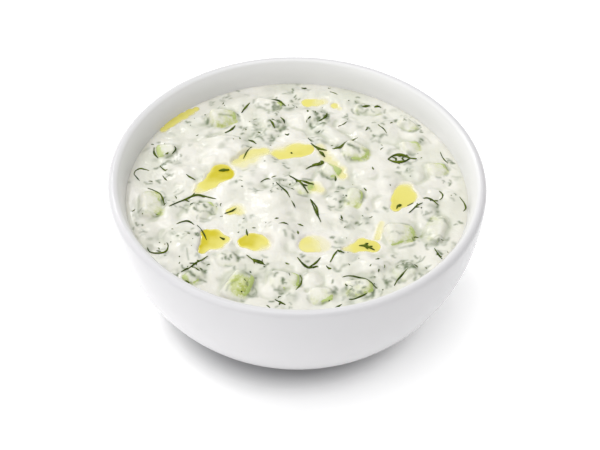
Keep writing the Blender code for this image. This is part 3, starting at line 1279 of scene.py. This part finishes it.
    def fleck_pieces(self, rng: random.Random, cucumber: CucumberPieces) -> None:
        """Stick more dill to the pieces that are full of it.

        Args:
            rng: The source of its places.
            cucumber: The pieces.
        """
        for number, count in FLECKED.items():
            middle, half = middle_and_half(cucumber.pieces[number])
            for _ in range(count):
                across = middle[0] + rng.gauss(0.1, 0.5) * half[0]
                along = middle[1] + rng.gauss(-0.1, 0.5) * half[1]
                length, width = rng.uniform(0.4, 2.0), rng.uniform(0.3, 0.6)
                strength, aim = rng.uniform(0.3, 0.9), rng.uniform(0, math.pi)
                self.sink_streak((across, along), length, width, strength, aim, 0.2)

    def ring_pieces(self, rng: random.Random, cucumber: CucumberPieces) -> None:
        """Sink darker streaks of dill along the edges of the pieces of cucumber.

        Args:
            rng: The source of their places.
            cucumber: The pieces.
        """
        for piece in cucumber.pieces.values():
            middle, half = middle_and_half(piece)
            for _ in range(rng.randint(5, 9)):
                turn = rng.uniform(-2.2, 1.0) if rng.random() < 0.65 else rng.uniform(0, 2 * math.pi)
                out = rng.uniform(0.82, 1.12)
                spot = (
                    middle[0] + out * half[0] * math.cos(turn),
                    middle[1] + out * half[1] * math.sin(turn),
                )
                aim = turn + math.pi / 2 + rng.uniform(-0.4, 0.4)
                length, width = rng.uniform(1.0, 3.6), rng.uniform(0.32, 0.6)
                strength, bend = rng.uniform(0.15, 0.6), rng.uniform(-0.2, 0.1)
                if self.crowding(*spot) > 0:
                    self.sink_streak(spot, length, width, strength, aim, bend)

    def crowding(self, x: float, y: float) -> float:
        """How likely a speck is at a place: clusters, more near the wall, none by the oil.

        Args:
            x: Across, in millimetres.
            y: Along, in millimetres.

        Returns:
            The chance, from 0 to 1.
        """
        for pool in POOLS.values():
            if any(math.hypot(x - dx, y - dy) < r + 1.2 for dx, dy, r in pool.discs):
                return 0.0
        cluster = noise.noise(Vector((x / 11, y / 11, 9.1)))
        out = math.hypot(x, y) / 64
        return max(0.10 + 2.0 * cluster + 0.45 * out, 0.01)

    def sink_streak(
        self,
        spot: Spot,
        length: float,
        width: float,
        strength: float,
        aim: float,
        bend: float,
    ) -> None:
        """Darken the skin along one short bent streak.

        Args:
            spot: Its middle, in millimetres.
            length: Its length in millimetres.
            width: How far it spreads to either side, in millimetres.
            strength: How dark it is, from 0 to 1.
            aim: Which way it points, in radians.
            bend: How much its middle is off its ends' line, as a share of its length.
        """
        ahead = np.array((math.cos(aim), math.sin(aim))) * length / 2
        side = np.array((-ahead[1], ahead[0])) * 2 * bend
        ends = (spot - ahead, spot + side, spot + ahead)
        reach = length / 2 + 3 * width
        x, y = self.x / MM, self.y / MM
        near = (np.abs(x - spot[0]) < reach) & (np.abs(y - spot[1]) < reach)
        away = away_from_path(x[near], y[near], ends)
        mark = strength * np.exp(-((away / width) ** 2))
        self.fleck[near] = 1 - (1 - self.fleck[near]) * (1 - mark)

    def close_down(self, sheet: bpy.types.Object) -> None:
        """Lift the sheet to its heights and close it down along the bowl's well.

        Args:
            sheet: The flat sheet.
        """
        points = np.stack([self.x, self.y, self.height], axis=-1)
        sheet.data.vertices.foreach_set("co", points.ravel())
        for name, values in self.marks.items():
            paint(sheet, name, values)
        sheet.data.update()
        select_only(sheet)
        bpy.ops.object.mode_set(mode="EDIT")
        bpy.ops.mesh.select_all(action="DESELECT")
        bpy.ops.mesh.select_non_manifold()
        rim = self.bowl.height
        depths = (rim - self.level + 1.5 * MM, *self.down_the_well)
        before = Ring(self.radius, self.level)
        for number, depth in enumerate(depths):
            after = Ring(self.bowl.well(depth) + self.into_wall, rim - depth)
            extrude_to(before, after)
            if number == 0:
                flatten = (1.0, 1.0, 0.0)
                centre = (0.0, 0.0, after.height)
                bpy.ops.transform.resize(value=flatten, center_override=centre)
            before = after
        bpy.ops.mesh.edge_face_add()
        bpy.ops.mesh.poke()
        bpy.ops.mesh.select_all(action="SELECT")
        bpy.ops.mesh.normals_make_consistent(inside=False)
        bpy.ops.object.mode_set(mode="OBJECT")
        bpy.ops.object.shade_smooth()

    def build(self, cucumber: CucumberPieces) -> bpy.types.Object:
        """Shape the dip over the cucumber and dress it.

        Args:
            cucumber: The pieces that it is draped over.

        Returns:
            The dip.
        """
        sheet = self.spread()
        self.heap()
        self.drape(cucumber)
        self.press_pools()
        self.paint_hollow_shade_and_ridge_light()
        self.sink_flecks(cucumber)
        self.close_down(sheet)
        dress(sheet, Yoghurt().material())
        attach(sheet, BODY)
        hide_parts("tzatziki")
        bpy.context.view_layer.update()
        self.tree = BVHTree.FromObject(sheet, bpy.context.evaluated_depsgraph_get())
        return sheet

    def look_down(self, x: float, y: float) -> float:
        """The height of the skin at a place.

        Args:
            x: Across, in metres.
            y: Along, in metres.

        Returns:
            The height in metres.
        """
        found = self.tree.ray_cast(Vector((x, y, HIGH_ABOVE)), DOWN)[0]
        return found.z if found is not None else self.level

    def surface_at(self, x: float, y: float) -> float:
        """The height of the skin at a place, or of the oil that covers it.

        Args:
            x: Across, in metres.
            y: Along, in metres.

        Returns:
            The height in metres.
        """
        height = self.look_down(x, y)
        for name, pool in POOLS.items():
            if any(math.hypot(x / MM - dx, y / MM - dy) < r for dx, dy, r in pool.discs):
                height = max(height, self.pool_levels[name])
        return height


# ------------------------------------------------------------------ the oil
@dataclass
class OilPools:
    """Olive oil lying level in the skin's hollows."""

    dip: Dip
    spacing: float = 0.4 * MM
    thickness: float = 0.25 * MM
    margin: float = 1.5 * MM  # how far a sheet reaches past its discs before it is cut
    buried: float = 0.5 * MM  # oil that lies deeper than this under the skin is cut off

    def sheet_of(self, name: str, pool: Pool) -> bpy.types.Object:
        """Lay one level sheet over a pool and keep what the hollow holds.

        Args:
            name: The pool's name.
            pool: The pool.

        Returns:
            The sheet.
        """
        low_x = min(x - r for x, _, r in pool.discs) * MM - self.margin
        high_x = max(x + r for x, _, r in pool.discs) * MM + self.margin
        low_y = min(y - r for _, y, r in pool.discs) * MM - self.margin
        high_y = max(y + r for _, y, r in pool.discs) * MM + self.margin
        level = self.dip.pool_levels[name]
        deselect_all()
        bpy.ops.mesh.primitive_grid_add(
            x_subdivisions=round((high_x - low_x) / self.spacing),
            y_subdivisions=round((high_y - low_y) / self.spacing),
            size=1.0,
        )
        sheet = named(f"oil_{name}")
        shape = bmesh.new()
        shape.from_mesh(sheet.data)
        depths = {}
        for vertex in shape.verts:
            x = low_x + (vertex.co.x + 0.5) * (high_x - low_x)
            y = low_y + (vertex.co.y + 0.5) * (high_y - low_y)
            vertex.co = Vector((x, y, level))
            depths[vertex] = level - self.dip.look_down(x, y)
        spots = np.array([vertex.co[:2] for vertex in shape.verts])
        filled = self.dip.fill_of(pool, spots[:, 0], spots[:, 1])
        outside = [
            vertex
            for vertex, fill in zip(shape.verts, filled)
            if fill < 0.5 or depths[vertex] < -self.buried
        ]
        bmesh.ops.delete(shape, geom=outside, context="VERTS")
        kept = np.array([vertex.co[:2] for vertex in shape.verts])
        shape.to_mesh(sheet.data)
        shape.free()
        paint(sheet, "oil_depth", self.dip.richness_of(pool, kept[:, 0], kept[:, 1]))
        return sheet

    def build(self) -> bpy.types.Object:
        """Make all the pools one piece and dress it.

        Returns:
            The oil.
        """
        sheets = [self.sheet_of(name, pool) for name, pool in POOLS.items()]
        deselect_all()
        for sheet in sheets:
            sheet.select_set(True)
        bpy.context.view_layer.objects.active = sheets[0]
        bpy.ops.object.join()
        oil = named("olive_oil")
        body = oil.modifiers.new("Body", "SOLIDIFY")
        body.thickness = self.thickness
        body.offset = -1.0
        bpy.ops.object.modifier_apply(modifier=body.name)
        bpy.ops.object.shade_smooth()
        dress(oil, OliveOil().material())
        oil.visible_shadow = False
        oil.visible_diffuse = False
        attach(oil, BODY)
        return oil


# ------------------------------------------------------------------ the dill
class Lie(Enum):
    """How deep a thread of dill lies."""

    ON_TOP = 0.35
    HALF_SUNK = 0.0
    SUNK = -0.22


class Thread(NamedTuple):
    """A thread of dill: its radius in millimetres, how it lies, and its points in mm."""

    radius: float
    lie: Lie
    points: tuple[Spot, ...]
    leaflets: int = 0


TOP, HALF, LOW = Lie.ON_TOP, Lie.HALF_SUNK, Lie.SUNK

THREADS = (
    # the long ones on top
    Thread(0.34, TOP, ((-47, -11.2), (-43.5, -8), (-40, -5.4), (-37, -4.2), (-33.5, -4.8),
                       (-30, -6)), 3),
    Thread(0.30, TOP, ((13, 22.6), (16, 24.8), (19.5, 27.6), (23, 30))),
    Thread(0.30, TOP, ((13.6, 22.4), (17, 24.2), (20, 27.2))),
    Thread(0.36, TOP, ((-3.2, 6.8), (-0.5, 4.0), (2, 0.8), (4.2, -2.4)), 2),
    Thread(0.40, TOP, ((0.6, 3.4), (3, 2.4), (6.2, 2.2))),
    Thread(0.32, TOP, ((5, -5), (6.2, -9), (7.6, -13), (9, -17.2))),
    Thread(0.28, TOP, ((5.2, -5.2), (7.2, -9.4), (8.2, -13.4))),
    Thread(0.28, TOP, ((-8, 2.2), (-5.6, -1), (-4, -3.4), (-2.6, -6.6))),
    Thread(0.24, HALF, ((-2.2, -7.5), (-1.2, -9.2), (-0.5, -10.8))),
    Thread(0.24, HALF, ((-14, 3), (-12.4, 4.6), (-11, 5), (-10, 4.2))),
    Thread(0.24, HALF, ((-9.8, 5.4), (-8, 6.2))),
    Thread(0.38, TOP, ((4.8, 26), (6.2, 24.2), (8, 22.8), (11, 22.0)), 2),
    Thread(0.24, HALF, ((3.6, 29), (4.4, 28), (5, 27))),
    Thread(0.50, TOP, ((8, 21.2), (9.2, 20), (10.2, 18.2))),
    Thread(0.34, TOP, ((3, 11), (4.6, 12.6), (6.4, 13.6), (9, 15.8))),
    Thread(0.50, TOP, ((5.4, 13.8), (7.4, 14.0), (9.4, 14.2))),
    Thread(0.55, HALF, ((8.6, 16.2), (9.4, 15.2), (9.6, 14.2))),
    # the ring at the right
    Thread(0.46, TOP, ((34.4, 18.0), (36, 19.6), (38.4, 20.6), (41, 20.2), (43, 18.9),
                       (45.6, 19.1)), 2),
    Thread(0.46, TOP, ((34.6, 18.0), (36.4, 16.8), (38.8, 16.3), (41.2, 17.0), (43, 18.7)), 2),
    Thread(0.34, TOP, ((36.2, 19.2), (37.6, 18.4), (37.4, 17.0))),
    Thread(0.30, TOP, ((40.6, 19.8), (40.0, 18.4), (40.8, 17.4))),
    # in the oil
    Thread(0.50, TOP, ((-30, 8.8), (-28, 9.2), (-26, 9.4))),
    Thread(0.30, TOP, ((-26.4, -14), (-24.6, -13.2), (-23.4, -12.4), (-22.2, -11))),
    Thread(0.42, TOP, ((22.8, -28.2), (24.6, -28.2), (26.4, -28.9), (28.4, -30.2)), 2),
    Thread(0.40, TOP, ((24.4, -28.2), (25.4, -27.4), (26.2, -27))),
    Thread(0.40, TOP, ((37, -8.8), (37.4, -7.4), (38.6, -7), (37.8, -7.8))),
    Thread(0.24, TOP, ((41, -7), (42.4, -6.4), (43.4, -5.6))),
    Thread(0.36, TOP, ((-27.4, -26.4), (-26, -27.4), (-25.6, -27.0))),
    Thread(0.32, TOP, ((-3, 20.2), (-2.2, 19.8))),
    # the left
    Thread(0.30, TOP, ((-43.6, -20), (-41.8, -18.6), (-40, -18.2), (-38.4, -19), (-37, -20.6))),
    Thread(0.24, HALF, ((-36, -20.6), (-34.4, -22.8), (-33.2, -25), (-32, -28))),
    Thread(0.30, TOP, ((-53, -31.4), (-52.4, -33), (-51, -33.9), (-48.6, -34.2), (-46.4, -34),
                       (-45.6, -32.6), (-45.6, -31), (-46.2, -29.6))),
    Thread(0.28, TOP, ((-31, -35.8), (-33, -37.6), (-35, -39.2), (-38, -42)), 4),
    Thread(0.26, TOP, ((-40, -43), (-38.4, -41.6), (-37, -41))),
    Thread(0.26, HALF, ((-36, -42), (-34.6, -42.6), (-33.4, -43.6))),
    Thread(0.26, HALF, ((-62, 7), (-61.6, 8.8), (-60, 10), (-58, 9.6), (-56.4, 9))),
    Thread(0.22, HALF, ((-62, 7), (-60.8, 5.2), (-59.4, 3.2))),
    Thread(0.28, HALF, ((-52.5, 11.5), (-51.2, 9.8), (-50.2, 8.8), (-49.4, 9.6))),
    Thread(0.26, HALF, ((-51, 6), (-50.2, 4.6), (-49, 3))),
    Thread(0.34, HALF, ((-42, 5.4), (-40.6, 4.2), (-38.4, 3.4))),
    Thread(0.26, HALF, ((-56, -1), (-53.5, -2.2), (-51, -4), (-49.6, -7), (-48.8, -10.4))),
    Thread(0.44, TOP, ((-29, 30.6), (-27.6, 31.2), (-26.4, 32.4), (-25.2, 35.4))),
    Thread(0.34, TOP, ((-23, 43.4), (-22.2, 45.6), (-20, 49.4))),
    Thread(0.34, TOP, ((-19.6, 27), (-18, 26), (-16.4, 24.4))),
    Thread(0.24, HALF, ((-18, 22.6), (-19.6, 20), (-21, 15.4))),
    Thread(0.34, HALF, ((-5.4, 30.8), (-4.4, 30), (-3.8, 31))),
    Thread(0.28, HALF, ((-48.4, 21.6), (-47.2, 20.2), (-48.4, 17.6))),
    Thread(0.36, HALF, ((-55.8, 22), (-55.4, 18.6), (-53.6, 15.8))),
    # the back
    Thread(0.40, HALF, ((-12, 51.4), (-9, 51.6), (-6.8, 50), (-5.6, 48.6))),
    Thread(0.34, HALF, ((-7.6, 41.2), (-6.2, 39.6), (-5.8, 37.8))),
    Thread(0.40, HALF, ((-11.6, 38), (-10.4, 36.4), (-9.6, 34.2))),
    Thread(0.44, HALF, ((11, 44.4), (10.6, 42.4), (9.6, 40.4), (7.8, 39))),
    Thread(0.34, HALF, ((3, 44), (3.6, 42.6))),
    Thread(0.34, HALF, ((3.4, 39.2), (4.6, 40.6))),
    Thread(0.50, LOW, ((25, 48.2), (27, 48.6), (28, 49))),
    Thread(0.55, LOW, ((29.6, 48), (31, 49), (32.6, 48.4))),
    Thread(0.26, LOW, ((12, 58), (13.6, 57), (15.2, 56))),
    Thread(0.26, LOW, ((15.4, 36), (17.4, 36.8), (19, 38.6))),
    Thread(0.26, LOW, ((31, 37.6), (33, 35), (34.4, 32.4))),
    # the right
    Thread(0.28, TOP, ((41.4, -11), (43, -9.4), (44.4, -8), (46.6, -6.4)), 2),
    Thread(0.32, TOP, ((46.8, -3.2), (48.6, -2.8), (50.4, -4), (52.6, -6.2)), 2),
    Thread(0.28, HALF, ((53.4, 2), (54.4, 0), (54.4, -2), (53.2, -3.2))),
    Thread(0.28, HALF, ((60.8, -1), (62.4, -4), (62.8, -6.6), (61.6, -8.6))),
    Thread(0.30, HALF, ((50, -28), (51, -30.6), (51.8, -32.4), (52.6, -33.2)), 2),
    Thread(0.30, HALF, ((35, -46.4), (36.2, -43.8), (38, -41.6), (40, -39.2))),
    Thread(0.30, HALF, ((42.4, -36.4), (43.6, -37.8))),
    Thread(0.24, LOW, ((55, 24), (56, 20), (57.6, 17.4))),
    # the front
    Thread(0.30, TOP, ((-17.4, -34.4), (-15, -36.4), (-12.8, -37.6), (-10.4, -38.8)), 2),
    Thread(0.26, TOP, ((-15, -36), (-12.6, -36.9), (-11, -38.2))),
    Thread(0.34, TOP, ((0.8, -35), (2.6, -37.6), (5, -39.4), (8, -38.6)), 2),
    Thread(0.34, TOP, ((9, -34.4), (8, -36), (6.8, -37.6), (5, -39))),
    Thread(0.32, TOP, ((12.4, -37.6), (13.8, -34.6), (15, -32))),
    Thread(0.40, TOP, ((15, -32), (16, -33), (17.4, -33.8))),
    Thread(0.32, HALF, ((11, -39), (12, -40.4), (13, -40.2))),
    Thread(0.30, HALF, ((16.6, -44.4), (19, -43.2), (21.4, -43), (24.4, -44.8), (27, -46.4),
                        (29, -48.2))),
    Thread(0.30, HALF, ((19, -53.4), (21, -53.2), (23.4, -52), (25.6, -50.4))),
    Thread(0.34, HALF, ((12.8, -58.4), (14.6, -57.6), (16.6, -56))),
    Thread(0.34, HALF, ((-6.6, -54.4), (-5, -55.6), (-2.8, -56.8))),
    Thread(0.26, HALF, ((1.8, -43), (2.6, -45.4), (2, -47.8), (0.4, -50.8))),
    Thread(0.30, HALF, ((-18, -22), (-17.8, -23.6), (-17.4, -25.2))),
    Thread(0.28, HALF, ((-6.4, -20.4), (-4.4, -19.8), (-2.8, -20.4))),
    Thread(0.36, HALF, ((0.6, -22.6), (0.8, -24.2))),
    Thread(0.34, LOW, ((-8, -17.4), (-6.4, -16.8))),
    Thread(0.36, LOW, ((0.2, -18.6), (2.6, -19.2))),
    Thread(0.50, LOW, ((-38.6, -47.2), (-36.6, -47.8))),
    Thread(0.34, HALF, ((14.2, 7.8), (14.4, 6), (14.2, 5.2))),
    Thread(0.30, HALF, ((28.4, 13.4), (28.8, 11.6))),
    Thread(0.34, HALF, ((16.2, -14), (16.8, -16))),
    Thread(0.28, HALF, ((25, 1.8), (26, 0.2))),
    Thread(0.28, HALF, ((28.2, -36), (30, -35))),
)


def smooth_path(points: Sequence[Spot], step: float) -> list[Vector]:
    """Run a smooth curve through points.

    Args:
        points: The points, in millimetres.
        step: The distance between the new points, in millimetres.

    Returns:
        Points along the curve, in millimetres.
    """
    given = [Vector(point) for point in points]
    ends = [2 * given[0] - given[1], *given, 2 * given[-1] - given[-2]]
    path = []
    for i in range(1, len(ends) - 2):
        before, start, end, after = ends[i - 1 : i + 3]
        count = max(2, round((end - start).length / step))
        for k in range(count):
            t = k / count
            ahead, back = end - before, after - start
            spot = start * (2 * t**3 - 3 * t**2 + 1) + end * (3 * t**2 - 2 * t**3)
            spot += 0.5 * ahead * (t**3 - 2 * t**2 + t) + 0.5 * back * (t**3 - t**2)
            path.append(spot)
    path.append(given[-1])
    return path


@dataclass
class Dill:
    """Chopped dill: listed threads, and small bits scattered between them."""

    dip: Dip
    step: float = 0.7
    fullness: float = 1.16
    seed: int = 5
    bits: int = 130
    bit_reach: float = 62.5  # in millimetres from the axis
    tip_share: float = 0.35  # how thick a strand's ends are, as a share of its middle
    knots: float = 0.2
    strands: list[tuple[list[Vector], float]] = field(default_factory=list)

    def lay(self, path: list[Vector], radius: float, lie: float) -> None:
        """Lay a strand on the skin.

        Args:
            path: Its points, in millimetres.
            radius: Its radius in millimetres.
            lie: How high it lies, as a share of its radius.
        """
        spots = []
        for spot in path:
            height = self.dip.surface_at(spot.x * MM, spot.y * MM)
            spots.append(Vector((spot.x * MM, spot.y * MM, height)))
        levels = [spot.z for spot in spots]
        for i, spot in enumerate(spots):
            around = levels[max(i - 2, 0) : i + 3]
            spot.z = sum(around) / len(around) + lie * radius * MM
        self.strands.append((spots, radius * self.fullness))

    def lay_threads(self, rng: random.Random) -> None:
        """Lay the threads, with their leaflets.

        Args:
            rng: The source of small differences.
        """
        for thread in THREADS:
            path = smooth_path(thread.points, self.step)
            self.lay(path, thread.radius, thread.lie.value)
            for number in range(thread.leaflets):
                start = path[round((0.35 + 0.5 * number / thread.leaflets) * (len(path) - 1))]
                ahead = (path[-1] - path[0]).normalized()
                side = Vector((-ahead.y, ahead.x)) * (1 if number % 2 else -1)
                reach = rng.uniform(1.4, 2.4)
                tip = start + (ahead + rng.uniform(0.5, 0.9) * side).normalized() * reach
                middle = (start + tip) / 2 - 0.15 * side
                leaflet = smooth_path([tuple(start), tuple(middle), tuple(tip)], self.step)
                self.lay(leaflet, thread.radius * 0.7, thread.lie.value)

    def scatter_bits(self, rng: random.Random) -> None:
        """Scatter small chopped bits, fewer near the oil and in the middle.

        Args:
            rng: The source of their places.
        """
        placed = 0
        while placed < self.bits:
            turn, out = rng.uniform(0, 2 * math.pi), self.bit_reach * math.sqrt(rng.random())
            spot = Vector((out * math.cos(turn), out * math.sin(turn)))
            chance, aim = rng.random(), rng.uniform(0, 2 * math.pi)
            length, radius = 0.4 + 1.9 * rng.random() ** 2, rng.uniform(0.12, 0.27)
            bend, lie = rng.uniform(-0.5, 0.5), rng.choice((0.1, -0.25, -0.45))
            if chance > self.dip.crowding(spot.x, spot.y):
                continue
            ahead = Vector((math.cos(aim), math.sin(aim))) * length / 2
            side = Vector((-ahead.y, ahead.x)) * bend
            path = smooth_path([tuple(spot - ahead), tuple(spot + side), tuple(spot + ahead)], 0.45)
            self.lay(path, radius, lie)
            placed += 1

    def build(self) -> bpy.types.Object:
        """Make all the dill one piece and dress it.

        Returns:
            The dill.
        """
        rng = random.Random(self.seed)
        self.lay_threads(rng)
        self.scatter_bits(rng)
        deselect_all()
        bpy.ops.curve.primitive_bezier_curve_add()
        dill = named("dill_threads")
        curve = dill.data
        curve.splines.clear()
        curve.dimensions = "3D"
        curve.bevel_depth = MM
        curve.bevel_resolution = 1
        curve.use_fill_caps = True
        for spots, radius in self.strands:
            spline = curve.splines.new("POLY")
            spline.points.add(len(spots) - 1)
            for i, (point, spot) in enumerate(zip(spline.points, spots)):
                share = i / (len(spots) - 1)
                point.co = (*spot, 1.0)
                swell = math.sin(math.pi * share) ** 0.5
                taper = self.tip_share + (1 - self.tip_share) * swell
                knot = 1 + self.knots * math.sin(9 * share + 7 * radius)
                point.radius = radius * taper * knot
        bpy.ops.object.convert(target="MESH")
        bpy.ops.object.mode_set(mode="EDIT")
        bpy.ops.mesh.select_all(action="SELECT")
        bpy.ops.mesh.remove_doubles(threshold=0.002 * MM)
        bpy.ops.mesh.normals_make_consistent(inside=False)
        bpy.ops.object.mode_set(mode="OBJECT")
        bpy.ops.object.shade_smooth()
        dill = bpy.context.object
        dress(dill, Herb().material())
        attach(dill, BODY)
        return dill


# ------------------------------------------------------------------ the studio
class Light(NamedTuple):
    """A square soft light that faces the bowl: sizes in metres, power in watts."""

    name: str
    place: tuple[float, float, float]
    size: float
    power: float


LIGHTS = (
    Light("overhead", (-0.1, 0.15, 1.9), 1.5, 17.5),
    Light("front_left", (-1.1, -1.0, 1.1), 1.3, 11.0),
    Light("back_left", (-1.2, 0.75, 0.9), 0.9, 4.5),
    Light("glint", (-0.5, 0.95, 1.05), 0.22, 3.0),
)


@dataclass
class Studio:
    """A white floor with a painted shadow round the bowl and a painted glow beyond it, soft light
    and the camera.
    """

    camera_place: tuple[float, float, float] = (0.0014, -0.3579, 0.3966)
    looks_down: float = 45.34
    rolls: float = 1.55
    lens: float = 79.4
    sensor: float = 36.0
    # shade is a painted shadow on the floor near the bowl; glow is a painted glow, emission beyond
    # it
    shade: Color = (0.42, 0.42, 0.43)
    white: Color = (0.96, 0.96, 0.96)
    glow: float = 0.22
    floor_size: float = 6.0
    shade_reach: tuple[float, float] = (41.5 * MM, 53 * MM)
    glow_reach: tuple[float, float] = (49 * MM, 59 * MM)
    shade_middle: tuple[float, float, float] = (-3 * MM, -1 * MM, 0.0)
    air: float = 0.60  # the strength of the light from all round

    def lay_floor(self) -> None:
        """Lay the floor, painted darker round the bowl as painted shadow and glowing beyond it as
        painted light.
        """
        deselect_all()
        bpy.ops.mesh.primitive_plane_add(size=self.floor_size)
        floor = named("studio_floor")
        nodes = Nodes("studio_floor_painted_shadow_and_glow")
        kind, middle = "ShaderNodeVectorMath", self.shade_middle
        shifted = nodes.add(kind, {"operation": "SUBTRACT"}, {0: nodes.place(), 1: middle})
        away = nodes.add(kind, {"operation": "LENGTH"}, {0: shifted}, "Value")
        # painted shadow: the floor's colour is darker near the bowl
        nodes.set(Base_Color=nodes.mix(away.rise(*self.shade_reach), self.shade, self.white))
        # painted glow: the floor emits light beyond the shadow, though it is no lamp
        glow = nodes.mix(away.rise(*self.glow_reach), (0.0, 0.0, 0.0), (1.0, 1.0, 1.0))
        nodes.set(Emission_Color=glow, Emission_Strength=self.glow)
        nodes.set(Roughness=0.9, Specular_IOR_Level=0.0)
        dress(floor, nodes.material)

    def hang(self, light: Light) -> None:
        """Hang one light.

        Args:
            light: Its name, place, size and power.
        """
        source = bpy.data.lights.new(light.name, "AREA")
        source.size = light.size
        source.energy = light.power
        lamp = bpy.data.objects.new(light.name, source)
        lamp.location = light.place
        lamp.rotation_euler = Vector(light.place).to_track_quat("Z", "Y").to_euler()
        bpy.context.scene.collection.objects.link(lamp)

    def light_up(self) -> None:
        """Hang the lights and set the light from all round."""
        for light in LIGHTS:
            self.hang(light)
        world = bpy.data.worlds.new("studio_air")
        world.use_nodes = True
        backdrop = world.node_tree.nodes["Background"]
        backdrop.inputs["Color"].default_value = (1.0, 1.0, 1.0, 1.0)
        backdrop.inputs["Strength"].default_value = self.air
        bpy.context.scene.world = world

    def place_camera(self) -> None:
        """Place the camera."""
        lens = bpy.data.cameras.new("camera")
        lens.lens = self.lens
        lens.sensor_width = self.sensor
        camera = bpy.data.objects.new("camera", lens)
        tip = Matrix.Rotation(math.radians(90 - self.looks_down), 4, "X")
        roll = Matrix.Rotation(math.radians(self.rolls), 4, "Z")
        camera.matrix_world = Matrix.Translation(self.camera_place) @ tip @ roll
        bpy.context.scene.collection.objects.link(camera)
        bpy.context.scene.camera = camera

    def build(self) -> None:
        """Set up the studio."""
        self.lay_floor()
        self.light_up()
        self.place_camera()
        bpy.context.scene.view_settings.view_transform = "Standard"


def main() -> None:
    """Build the bowl, the cucumber, the dip, the oil and the dill, and the studio."""
    logging.basicConfig(level=logging.INFO, format="%(message)s")
    low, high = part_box("bowl")
    bowl = Bowl(radius=high.x, height=high.z)
    LOG.info("bowl: %s", bowl.build().name)
    cucumber = CucumberPieces()
    cucumber.build(frame["nodes"])
    LOG.info("cucumber: %d pieces", len(cucumber.pieces))
    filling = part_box("tzatziki")[1]
    dip = Dip(bowl=bowl, radius=filling.x + 0.7 * MM)
    LOG.info("dip: %d points", len(dip.build(cucumber).data.vertices))
    LOG.info("oil: %d points", len(OilPools(dip).build().data.vertices))
    LOG.info("dill: %d points", len(Dill(dip).build().data.vertices))
    Studio().build()


if __name__ == "__main__":
    main()
